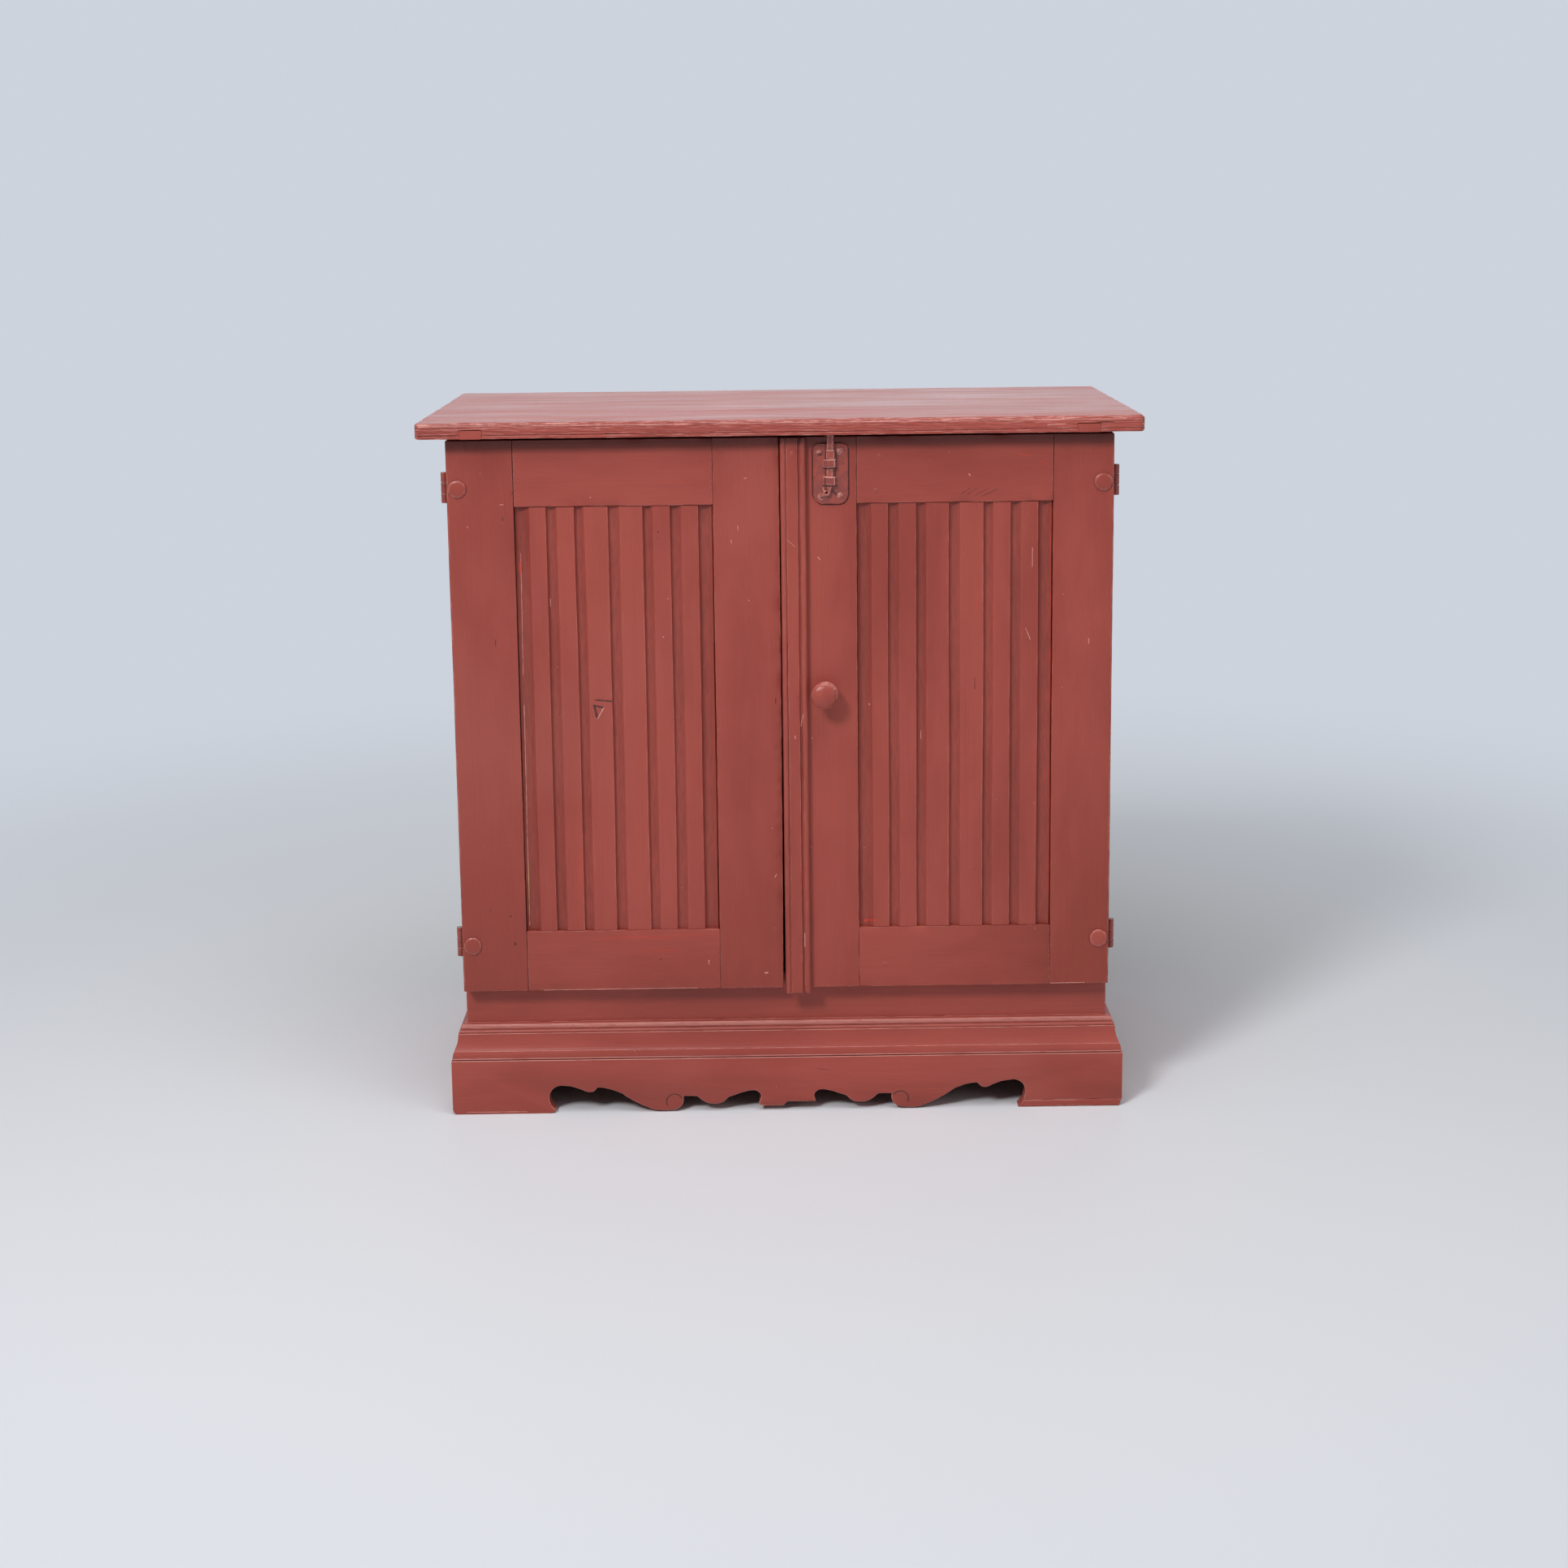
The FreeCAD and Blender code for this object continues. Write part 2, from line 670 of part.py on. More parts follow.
def make_plinth_front():
    """The apron: a board whose lower edge is cut in scrolls between the feet."""
    front = body("plinth_front")
    place(front, "0", "case_front - plinth_thickness", "0")
    reach = get("scroll_reach")
    rise = get("scroll_rise")
    half = get("plinth_half")
    shoe = get("shoe_height")
    centre_share = SCROLL_SHARES[0][1][1]
    right = outline((0, centre_share), SCROLL_SHARES[:-1], reach, rise)
    left = mirrored(outline((0, centre_share), SCROLL_SHARES, reach, rise))[1:]
    toe = SCROLL_SHARES[-1][2]
    toe_x = toe[0] * reach
    toe_z = toe[1] * rise
    centre_z = centre_share * rise
    lip_z = centre_z - get("lip_drop")
    lip_x = get("lip_width")
    hook = left[0].StartPoint
    # Right foot, cut short over its shoe
    edges = list(right)
    heel = Vector(SHOE_SHARE * reach, shoe, 0)
    edges.append(Part.LineSegment(right[-1].EndPoint, heel))
    edges.append(Part.LineSegment(heel, Vector(half, shoe, 0)))
    edges.append(Part.LineSegment(Vector(half, shoe, 0), Vector(half, get("plinth_height"), 0)))
    edges.append(Part.LineSegment(Vector(half, get("plinth_height"), 0),
                                  Vector(-half, get("plinth_height"), 0)))
    edges.append(Part.LineSegment(Vector(-half, get("plinth_height"), 0), Vector(-half, 0, 0)))
    # Left foot, down to the floor
    foot = -FOOT_SHARE * reach
    edges.append(Part.LineSegment(Vector(-half, 0, 0), Vector(foot, 0, 0)))
    edges.append(Part.LineSegment(Vector(foot, 0, 0), Vector(-toe_x, toe_z, 0)))
    edges += left
    # The drop's unbroken left half hangs lower than its right half
    edges.append(Part.LineSegment(hook, Vector(-lip_x, lip_z, 0)))
    edges.append(Part.LineSegment(Vector(-lip_x, lip_z, 0), Vector(-get("lip_drop"), lip_z, 0)))
    edges.append(Part.LineSegment(Vector(-get("lip_drop"), lip_z, 0), Vector(0, centre_z, 0)))
    board = sketch(front, "apron_outline", "XZ_Plane", edges)
    pad(front, "apron", board, "plinth_thickness", True)
    # Incised curls
    for hand in (-1, 1):
        middle = Vector(hand * VOLUTE_SHARES[0] * reach, VOLUTE_SHARES[1] * rise, 0)
        inner_radius = get("volute_radius") - get("incision_width")
        outer_radius = get("volute_radius")
        start = math.radians(CURL_DEGREES[hand > 0][0])
        end = math.radians(CURL_DEGREES[hand > 0][1])
        up = Vector(0, 0, 1)
        curl = [
            Part.ArcOfCircle(Part.Circle(middle, up, outer_radius), start, end),
            Part.ArcOfCircle(Part.Circle(middle, up, inner_radius), start, end),
        ]
        curl.append(Part.LineSegment(curl[0].StartPoint, curl[1].StartPoint))
        curl.append(Part.LineSegment(curl[0].EndPoint, curl[1].EndPoint))
        line = sketch(front, "curl_" + side_name(hand), "XZ_Plane", curl)
        pocket(front, "incised_curl_" + side_name(hand), line, "incision_depth", False)
    fillet(front, "worn_left_corner", "plinth_corner_radius",
           lambda p: near(p.x, -half) and near(p.z, 0))


def make_shoe():
    """Packing shoe with slanted ends, nailed under the right foot."""
    shoe = body("foot_shoe")
    place(shoe, "0", "case_front - plinth_thickness", "0")
    high = get("shoe_height")
    slant = get("shoe_slant")
    left = SHOE_SHARE * get("scroll_reach")
    right = get("plinth_half")
    corners = [(left - slant, 0), (right - slant / 2, 0), (right, high), (left, high)]
    side = sketch(shoe, "shoe_outline", "XZ_Plane", polygon(corners))
    pad(shoe, "shoe", side, "plinth_thickness", True)


def make_plinth_sides():
    for hand in (-1, 1):
        side = side_name(hand)
        node(box("plinth_" + side, sided(hand, "half_case", "plinth_half"),
                 ("case_front", "case_back"), ("0", "plinth_height")), "plinth_side_" + side)


def make_mouldings():
    """Base moulding in three lengths, mitred at the front corners."""
    out = get("plinth_thickness")
    high = get("moulding_height")
    half = get("half_case")
    reach = get("plinth_half")
    section = outline((0, 0), MOULDING_SHARES, out, high)
    section.append(Part.LineSegment(section[-1].EndPoint, Vector()))
    front = body("moulding_front")
    place(front, "0", "case_front", "plinth_height")
    turned = mirrored(section)
    face = sketch(front, "front_section", "YZ_Plane", turned, "-plinth_half")
    pad(front, "front_run", face, "2 * plinth_half")
    for hand in (-1, 1):
        mitre = [(hand * half, 0), (hand * reach, -out), (hand * (reach + out), -out)]
        mitre.append((hand * (reach + out), 0))
        corner = sketch(front, "mitre_" + side_name(hand), "XY_Plane", polygon(mitre))
        pocket(front, "front_mitre_" + side_name(hand), corner, "moulding_height", True)
    for hand in (-1, 1):
        side = side_name(hand)
        run = body("moulding_" + side)
        edge, unused = sided(hand, "half_case", "half_case")
        place(run, edge, "case_front", "plinth_height")
        face = sketch(run, "section_" + side, "XZ_Plane", section if hand > 0 else mirrored(section),
                      "plinth_thickness")
        pad(run, "run_" + side, face, "plinth_thickness + case_back - case_front", True)
        mitre = [(0, 0), (hand * out, -out), (hand * out, -2 * out), (-hand * out, -2 * out)]
        mitre.append((-hand * out, 0))
        corner = sketch(run, "mitre_end_" + side, "XY_Plane", polygon(mitre))
        pocket(run, "side_mitre_" + side, corner, "moulding_height", True)


# Doors


def door_spans(hand):
    """The door's stile widths and the edges of its panel opening, for the right side."""
    side = side_name(hand)
    outer = side + "_outer_stile"
    inner = side + "_inner_stile"
    return outer, inner, "half_meeting + " + inner, "half_case - " + outer


def rail_levels():
    """Each rail's name, its span up the door and the edge that faces the panel."""
    return (
        ("top", "opening_top", "door_top", 1),
        ("bottom", "door_bottom_height", "opening_bottom", -1),
    )


def peg_places(hand):
    """Where the pegs pass through the tenons: across and up."""
    outer, inner, open_in, open_out = door_spans(hand)
    spots = []
    for name, low, high, facing in rail_levels():
        level = "(" + low + " + " + high + ") / 2"
        for across in (open_in + " - tenon_length / 2", open_out + " + tenon_length / 2"):
            spots.append((across if hand > 0 else negative(across), level))
    return spots


def peg_tools(hand, name, width, spots):
    """Square pegs from the door's back towards its face."""
    pegs = []
    for number, (across, level) in enumerate(spots):
        pegs.append(square_bar("%s_%s_%d" % (name, side_name(hand), number), across, level, width,
                               ("door_face + peg_stop", "door_back")))
    return pegs


def make_door(hand):
    side = side_name(hand)
    outer, inner, open_in, open_out = door_spans(hand)
    thick = ("door_face", "door_back")
    tall = ("door_bottom_height", "door_top")
    pegs = peg_places(hand)
    groove_y = ("tongue_front - joint_clearance", "tongue_back + joint_clearance")
    groove_z = ("opening_bottom - groove_depth", "opening_top + groove_depth")
    # Stiles
    for name, low, high, groove, reach in (
        ("outer", open_out, "half_case", (open_out, open_out + " + groove_depth"),
         (open_out, open_out + " + tenon_length + joint_clearance")),
        ("inner", "half_meeting", open_in, (open_in + " - groove_depth", open_in),
         (open_in + " - tenon_length - joint_clearance", open_in)),
    ):
        label = side + "_door_" + name + "_stile"
        board = box(label + "_board", sided(hand, low, high), thick, tall)
        free = get("half_case") if name == "outer" else get("half_meeting")
        radius = "stile_edge_radius"
        if name == "inner" and hand < 0:
            radius = "meeting_edge_radius"
        board = eased(label + "_eased", board, radius,
                      lambda p, x=hand * free: near(p.x, x) and near(p.y, get("door_face")))
        tools = [box(label + "_groove", sided(hand, *groove), groove_y, groove_z)]
        for rail, rail_low, rail_high, facing in rail_levels():
            span = (rail_low + " + tenon_shoulder - joint_clearance",
                    rail_high + " - tenon_shoulder + joint_clearance")
            tools.append(box(label + "_mortise_" + rail, sided(hand, *reach), groove_y, span))
        spots = [spot for number, spot in enumerate(pegs) if number % 2 == (name == "outer")]
        tools += peg_tools(hand, label + "_peg_hole", "peg_width + 2 * joint_clearance", spots)
        if name == "outer":
            for level, height in hinge_levels():
                tools.append(box(label + "_leaf_seat_" + level,
                                 sided(hand, "half_case - door_leaf_reach", "half_case"),
                                 ("door_back - leaf_thickness", "door_back"),
                                 (height + " - hinge_height / 2", height + " + hinge_height / 2")))
                tools.append(rivet_hole(hand, label + "_rivet_" + level, height))
        if name == "inner" and hand > 0:
            tools.append(cylinder("knob_socket", ("knob_centre", "door_face", "knob_level"),
                                  "knob_shank_radius + joint_clearance",
                                  "knob_shank_length + joint_clearance", ALONG_Y))
            tools += nail_shanks("plate_nail_hole_", "nail_width + 2 * joint_clearance",
                                 "nail_length + joint_clearance")
        node(cut(label + "_cut", board, tools), label)
    # Rails with their tenons
    for rail, low, high, facing in rail_levels():
        label = side + "_door_" + rail + "_rail"
        board = box(label + "_board", sided(hand, open_in, open_out), thick, (low, high))
        tenons = box(label + "_tenons",
                     sided(hand, open_in + " - tenon_length", open_out + " + tenon_length"),
                     ("tongue_front", "tongue_back"),
                     (low + " + tenon_shoulder", high + " - tenon_shoulder"))
        if facing > 0:
            edge = (low, low + " + groove_depth")
        else:
            edge = (high + " - groove_depth", high)
        tools = [box(label + "_groove", sided(hand, open_in, open_out), groove_y, edge)]
        spots = [spot for spot in pegs if spot[1] == "(" + low + " + " + high + ") / 2"]
        tools += peg_tools(hand, label + "_peg_hole", "peg_width + 2 * joint_clearance", spots)
        node(cut(label + "_cut", fused(label + "_wood", [board, tenons]), tools), label)
    node(group(side + "_pegs", peg_tools(hand, "peg", "peg_width", pegs)), side + "_door_pegs")
    make_panel(hand, open_in, open_out)


def make_panel(hand, open_in, open_out):
    """A panel with seven hollows between six flat ribs, and a tongue all round."""
    side = side_name(hand)
    panel = body(side + "_door_panel")
    low, high = sided(hand, open_in, open_out)
    place(panel, low, "tongue_front", "opening_bottom")
    doc.recompute()
    wide = get("half_case") - get("half_meeting")
    wide -= get(side + "_outer_stile") + get(side + "_inner_stile")
    tall = get("opening_height")
    over = get("groove_depth") - 2 * get("joint_clearance")
    back = get("tongue_thickness")
    tongue = sketch(panel, side + "_tongue_outline", "XY_Plane",
                    polygon([(-over, 0), (wide + over, 0), (wide + over, back), (-over, back)]),
                    "-(groove_depth - 2 * joint_clearance)")
    pad(panel, side + "_tongue", tongue, "opening_height + 2 * (groove_depth - 2 * joint_clearance)")
    gap = get("panel_gap")
    face = -get("field_thickness")
    deep = face + get("flute_depth")
    field = wide - 2 * gap
    edges = []
    here = Vector(gap, 0, 0)
    for first, last in HOLLOW_SHARES:
        start = Vector(gap + first * field, face, 0)
        end = Vector(gap + last * field, face, 0)
        middle = Vector((start.x + end.x) / 2, deep, 0)
        edges.append(Part.LineSegment(here, start))
        edges.append(Part.Arc(start, middle, end))
        here = end
    edges.append(Part.LineSegment(here, Vector(gap + field, 0, 0)))
    edges.append(Part.LineSegment(Vector(gap + field, 0, 0), Vector(gap, 0, 0)))
    flutes = sketch(panel, side + "_flutes", "XY_Plane", edges)
    pad(panel, side + "_fluted_field", flutes, "opening_height")


def make_strip():
    """Moulded strip on the right door that covers the gap between the doors."""
    strip = body("cover_strip")
    place(strip, "0", "door_face", "door_bottom_height - strip_drop")
    wide = get("strip_width")
    out = -get("strip_thickness")
    edges = outline((0, 0), STRIP_SHARES, wide, out)
    edges.append(Part.LineSegment(edges[-1].EndPoint, Vector()))
    section = sketch(strip, "strip_section", "XY_Plane", edges)
    pad(strip, "strip", section, "door_height + strip_drop")


# Hinges


def leaf_hole_centre(hand):
    across = "half_case - rivet_inset"
    return across if hand > 0 else negative(across)


def rivet_hole(hand, name, height):
    return square_bar(name, leaf_hole_centre(hand), height, "rivet_width + 2 * joint_clearance",
                      ("door_face", "door_back"))


def make_hinges(hand):
    side = side_name(hand)
    pin_x = "pin_x" if hand > 0 else "-pin_x"
    case_leaves = []
    door_leaves = []
    rivets = []
    for level, height in hinge_levels():
        name = "hinge_" + level + "_" + side
        low = height + " - hinge_height / 2"
        high = height + " + hinge_height / 2"
        middle_low = height + " - knuckle_height / 2"
        middle_high = height + " + knuckle_height / 2"
        outer = "(hinge_height - knuckle_height) / 2 - knuckle_gap"
        # Case leaf, with the two outer knuckles and the pin that is riveted in them
        leaf = box(name + "_case_plate", sided(hand, "half_case - case_leaf_reach", "pin_x"),
                   ("case_front", "case_front + leaf_thickness"), (low, high))
        lower = cylinder(name + "_knuckle_low", (pin_x, "pin_y", low), "knuckle_radius", outer)
        upper = cylinder(name + "_knuckle_high", (pin_x, "pin_y", middle_high + " + knuckle_gap"),
                         "knuckle_radius", outer)
        notch = box(name + "_case_notch", sided(hand, "half_case", "pin_x + knuckle_radius"),
                    ("pin_y - knuckle_radius", "pin_y + knuckle_radius"),
                    (middle_low + " - knuckle_gap", middle_high + " + knuckle_gap"))
        sheet = cut(name + "_case_cut", fused(name + "_case_metal", [leaf, lower, upper]), [notch])
        pin = cylinder(name + "_pin", (pin_x, "pin_y", low), "pin_radius", "hinge_height")
        case_leaves.append(fused(name + "_case_leaf", [sheet, pin]))
        # Door leaf, with the middle knuckle
        leaf = box(name + "_door_plate", sided(hand, "half_case - door_leaf_reach", "pin_x"),
                   ("door_back - leaf_thickness", "door_back"), (low, high))
        middle = cylinder(name + "_knuckle_middle", (pin_x, "pin_y", middle_low),
                          "knuckle_radius", "knuckle_height")
        tools = [
            cylinder(name + "_door_bore", (pin_x, "pin_y", low), "pin_radius + pin_clearance",
                     "hinge_height"),
            rivet_hole(hand, name + "_rivet_hole", height),
            box(name + "_door_notch_low", sided(hand, "half_case", "pin_x + knuckle_radius"),
                ("pin_y - knuckle_radius", "pin_y + knuckle_radius"), (low, middle_low)),
            box(name + "_door_notch_high", sided(hand, "half_case", "pin_x + knuckle_radius"),
                ("pin_y - knuckle_radius", "pin_y + knuckle_radius"), (middle_high, high)),
        ]
        door_leaves.append(cut(name + "_door_cut",
                               fused(name + "_door_metal", [leaf, middle]), tools))
        rivets.append(make_rivet(hand, name, height))
    for kind, parts in (("case_leaves", case_leaves), ("door_leaves", door_leaves),
                        ("rivets", rivets)):
        node(group(side + "_" + kind, parts), "hinge_" + kind + "_" + side)


def make_rivet(hand, name, height):
    """A rivet with a low domed head on the door's face, clenched in the hinge leaf."""
    dome = doc.addObject("Part::Sphere", name + "_rivet_dome")
    dome.Placement = FreeCAD.Placement(Vector(), TOWARDS_VIEWER)
    bind(dome, "Radius", "dome_radius")
    bind(dome, "Angle1", "asin((dome_radius - rivet_head_height) / dome_radius)")
    centre = (leaf_hole_centre(hand), "door_face - rivet_head_height + dome_radius", height)
    for axis, text in zip("xyz", centre):
        bind(dome, "Placement.Base." + axis, text)
    shank = square_bar(name + "_rivet_shank", leaf_hole_centre(hand), height, "rivet_width",
                       ("door_face", "door_back"))
    return fused(name + "_rivet", [dome, shank])


# Knob


def make_knob():
    """A turned knob whose shank is glued into the stile."""
    knob = body("knob")
    place(knob, "knob_centre", "door_face", "knob_level")
    shank = get("knob_shank_radius")
    deep = get("knob_shank_length")
    points = [(0, deep), (shank, deep), (shank, 0)]
    for radius, out in KNOB_SHARES:
        points.append((radius * get("knob_radius"), -out * get("knob_length")))
    profile = sketch(knob, "knob_profile", "XY_Plane", polygon(points))
    turned = knob.newObject("PartDesign::Revolution", "knob_turning")
    turned.Profile = profile
    turned.ReferenceAxis = (profile, ["V_Axis"])
    turned.Angle = 360
    doc.recompute()


# Bolt and plate


def nail_spots():
    """Where the plate's four nails stand: across and up."""
    left = "plate_left + nail_inset"
    right = "plate_left + plate_width - nail_inset"
    high = "plate_top - nail_inset"
    low = "plate_top - plate_height + nail_inset"
    return ((left, high), (right, high), (left, low), (right, low))


def nail_shanks(name, width, length):
    shanks = []
    for number, (across, level) in enumerate(nail_spots()):
        shanks.append(square_bar(name + str(number), across, level, width,
                                 ("plate_face", "plate_face + " + length)))
    return shanks


def make_plate():
    plate = body("bolt_plate")
    place(plate, "plate_left", "plate_face", "plate_top - plate_height")
    wide = get("plate_width")
    high = get("plate_height")
    corners = [(0, 0), (wide, 0), (wide, high), (0, high)]
    shape = sketch(plate, "plate_outline", "XZ_Plane", polygon(corners))
    pad(plate, "plate_sheet", shape, "plate_thickness", True)
    for level, z in (("lower", 0), ("upper", high)):
        for side, x in (("left", 0), ("right", wide)):
            fillet(plate, "plate_%s_%s_corner" % (level, side), "plate_%s_round" % level,
                   lambda p, x=x, z=z: near(p.x, x) and near(p.z, z))
    inset = get("nail_inset")
    half = get("nail_width") / 2 + get("joint_clearance")
    rims = []
    for x in (inset, wide - inset):
        for z in (inset, high - inset):
            rims += polygon([(x - half, z - half), (x + half, z - half),
                             (x + half, z + half), (x - half, z + half)])
    holes = sketch(plate, "nail_holes_outline", "XZ_Plane", rims)
    pocket(plate, "nail_holes", holes, "plate_thickness", False)


def make_nails():
    """Nails with four-sided heads that hold the plate."""
    nails = []
    shanks = nail_shanks("plate_nail_shank_", "nail_width", "nail_length")
    for number, (across, level) in enumerate(nail_spots()):
        head = doc.addObject("Part::Wedge", "plate_nail_head_%d" % number)
        half = "nail_head_width / 2"
        for prop, text in (
            ("Xmin", "-" + half), ("Xmax", half), ("Zmin", "-" + half), ("Zmax", half),
            ("Ymin", "0"), ("Ymax", "nail_head_height"),
            ("X2min", "-nail_head_width / 10"), ("X2max", "nail_head_width / 10"),
            ("Z2min", "-nail_head_width / 10"), ("Z2max", "nail_head_width / 10"),
        ):
            bind(head, prop, text)
        head.Placement = FreeCAD.Placement(Vector(), FreeCAD.Rotation(Vector(0, 0, 1), 180))
        for axis, text in zip("xyz", (across, "plate_face", level)):
            bind(head, "Placement.Base." + axis, text)
        nails.append(fused("plate_nail_%d" % number, [head, shanks[number]]))
    node(group("plate_nail_group", nails), "bolt_plate_nails")


def make_straps():
    """Two straps bent over the bolt, with a foot on each side."""
    for name, level in (("upper", "upper_strap_level"), ("lower", "lower_strap_level")):
        strap = body("bolt_strap_" + name)
        place(strap, "bolt_centre", "plate_face", level)
        gap = get("bolt_clearance")
        inner = get("bolt_width") / 2 + gap
        deep = get("bolt_thickness") + 2 * gap
        sheet = get("strap_thickness")
        foot = get("strap_foot")
        outer = inner + sheet
        points = [
            (-outer - foot, 0), (-inner, 0), (-inner, -deep), (inner, -deep), (inner, 0),
            (outer + foot, 0), (outer + foot, -sheet), (outer, -sheet), (outer, -deep - sheet),
            (-outer, -deep - sheet), (-outer, -sheet), (-outer - foot, -sheet),
        ]
        bend = sketch(strap, name + "_strap_section", "XY_Plane", polygon(points))
        pad(strap, name + "_strap_bend", bend, "strap_height")


def make_bolt():
    """A flat bar with a shoulder above the upper strap and a curled tail below the lower."""
    bolt = body("bolt")
    place(bolt, "bolt_centre", "bolt_back", "upper_strap_top")
    half = get("bolt_width") / 2
    wide = get("bolt_shoulder_width") / 2
    tip = get("bolt_top") - get("upper_strap_top")
    seat = get("bolt_clearance")
    shoulder = seat + get("bolt_shoulder_height")
    bottom = get("lower_strap_level") - get("upper_strap_top")
    curl = get("bolt_curl_radius")
    tail = bottom - get("bolt_travel") - get("bolt_clearance") - curl
    flat = sketch(bolt, "bolt_outline", "XZ_Plane",
                  polygon([(-half, tail), (half, tail), (half, tip), (-half, tip)]))
    pad(bolt, "bolt_bar", flat, "bolt_thickness")
    block = sketch(bolt, "bolt_shoulder_outline", "XZ_Plane",
                   polygon([(-wide, seat), (wide, seat), (wide, shoulder), (-wide, shoulder)]))
    pad(bolt, "bolt_shoulder", block, "bolt_shoulder_thickness")
    ring = sketch(bolt, "bolt_curl_outline", "XZ_Plane",
                  [Part.Circle(Vector(-half - curl / 2, tail, 0), Vector(0, 0, 1), curl)])
    pad(bolt, "bolt_curl", ring, "bolt_thickness")


# Building and writing

fill_sheets()
make_top_board()
make_cleats()
make_sides()
make_case_boards()
make_plinth_front()
make_shoe()
make_plinth_sides()
make_mouldings()
for door_hand in (-1, 1):
    make_door(door_hand)
    make_hinges(door_hand)
make_strip()
make_knob()
make_plate()
make_nails()
make_straps()
make_bolt()
doc.recompute()

for item in doc.Objects:
    if "Invalid" in item.State or "Error" in item.State:
        raise RuntimeError("%s failed: %s" % (item.Name, item.State))
for item in NODES:
    if item.Shape.isNull() or not item.Shape.isValid():
        raise RuntimeError(item.Label + " has no valid shape")

os.makedirs("parts", exist_ok=True)
for item in NODES:
    item.Shape.exportStep(os.path.join("parts", item.Label + ".step"))
    print("%-32s %2d solids %12.1f mm3" % (item.Label, len(item.Shape.Solids), item.Shape.Volume))
print(len(NODES), "nodes")
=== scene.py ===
"""Blender scene of a low painted cupboard: worn board surfaces, paint, ironwork and a stage."""

import math

import bpy
import numpy as np
from bpy.props import FloatProperty, FloatVectorProperty, IntProperty, PointerProperty
from mathutils import Matrix, Vector


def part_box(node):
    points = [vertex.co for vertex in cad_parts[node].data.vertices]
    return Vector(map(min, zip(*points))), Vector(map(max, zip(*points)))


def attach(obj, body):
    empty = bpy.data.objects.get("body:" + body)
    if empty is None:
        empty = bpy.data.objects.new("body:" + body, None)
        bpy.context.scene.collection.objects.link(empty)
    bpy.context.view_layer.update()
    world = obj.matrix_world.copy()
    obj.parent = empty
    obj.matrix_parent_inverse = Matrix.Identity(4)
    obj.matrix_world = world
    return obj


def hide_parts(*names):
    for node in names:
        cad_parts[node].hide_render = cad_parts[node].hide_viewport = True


bl_info = {
    "name": "Painted cupboard",
    "version": (1, 0, 0),
    "blender": (4, 5, 0),
    "location": "View3D > Sidebar > Cupboard",
    "description": "Dresses a two-door cupboard in worn paint, with its ironwork and a stage",
    "category": "Object",
}

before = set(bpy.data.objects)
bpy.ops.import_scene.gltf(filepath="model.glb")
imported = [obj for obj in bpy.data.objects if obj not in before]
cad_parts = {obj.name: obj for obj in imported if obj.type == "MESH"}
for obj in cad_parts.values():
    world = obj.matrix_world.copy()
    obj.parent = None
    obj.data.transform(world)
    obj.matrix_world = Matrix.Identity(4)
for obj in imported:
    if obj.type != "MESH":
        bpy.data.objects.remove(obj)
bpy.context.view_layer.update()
MM = 0.001
# Front face of the doors, in millimetres along y
DOOR_FACE = round(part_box("right_door_inner_stile")[0][1] / MM, 1)

# Shape tables, as shares of the size each one is drawn to. One pair is the end of a line, and
# two pairs are the middle and the end of an arc.

# Right half of the apron's edge, from the centre line outwards
SCROLL = [
    ((0.119, 0.320),), ((0.110, 0.480),), ((0.122, 0.680), (0.148, 0.740)),
    ((0.183, 0.690), (0.225, 0.555)), ((0.237, 0.545),), ((0.250, 0.490),),
    ((0.273, 0.325), (0.306, 0.268)), ((0.342, 0.325), (0.369, 0.480)), ((0.381, 0.560),),
    ((0.438, 0.565),), ((0.448, 0.190), (0.488, 0.072)), ((0.525, 0.056), (0.560, 0.092)),
    ((0.630, 0.345), (0.694, 0.672)), ((0.745, 0.850), (0.797, 0.915)), ((0.808, 0.800),),
    ((0.824, 0.745), (0.846, 0.775)), ((0.890, 0.925), (0.934, 0.990)),
    ((0.984, 0.880), (1.000, 0.590)), ((0.994, 0.330), (0.972, 0.120)),
]
# Section of the base moulding: how far it stands out, and up
MOULDING = [
    ((0.940, 0.000),), ((0.940, 0.050),), ((0.905, 0.065),), ((0.865, 0.185), (0.745, 0.305)),
    ((0.605, 0.480), (0.540, 0.695)), ((0.540, 0.730),), ((0.470, 0.730),),
    ((0.500, 0.775), (0.425, 0.815)), ((0.350, 0.815),), ((0.350, 0.865),),
    ((0.335, 0.940), (0.170, 0.985)), ((0.000, 1.000),),
]
# Section of the cover strip: across, and out from the door
STRIP = [
    ((0.000, 0.620),), ((0.110, 1.000), (0.220, 0.780)), ((0.240, 0.840),), ((0.680, 0.840),),
    ((0.720, 0.600), (0.760, 0.840)), ((0.885, 1.000), (1.000, 0.560)), ((1.000, 0.000),),
]
# First and last edge of each hollow across a panel
HOLLOWS = (
    (0.000, 0.072), (0.156, 0.214), (0.301, 0.354), (0.470, 0.530), (0.646, 0.699), (0.786, 0.844),
    (0.928, 1.000),
)


# Numbers


def box(name):
    """A CAD node's lowest and highest corners."""
    return [np.array(corner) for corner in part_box(name)]


def along(axis, across, lengthwise):
    """Three numbers, for two directions across an axis and for its own."""
    return tuple(lengthwise if i == axis else across for i in range(3))


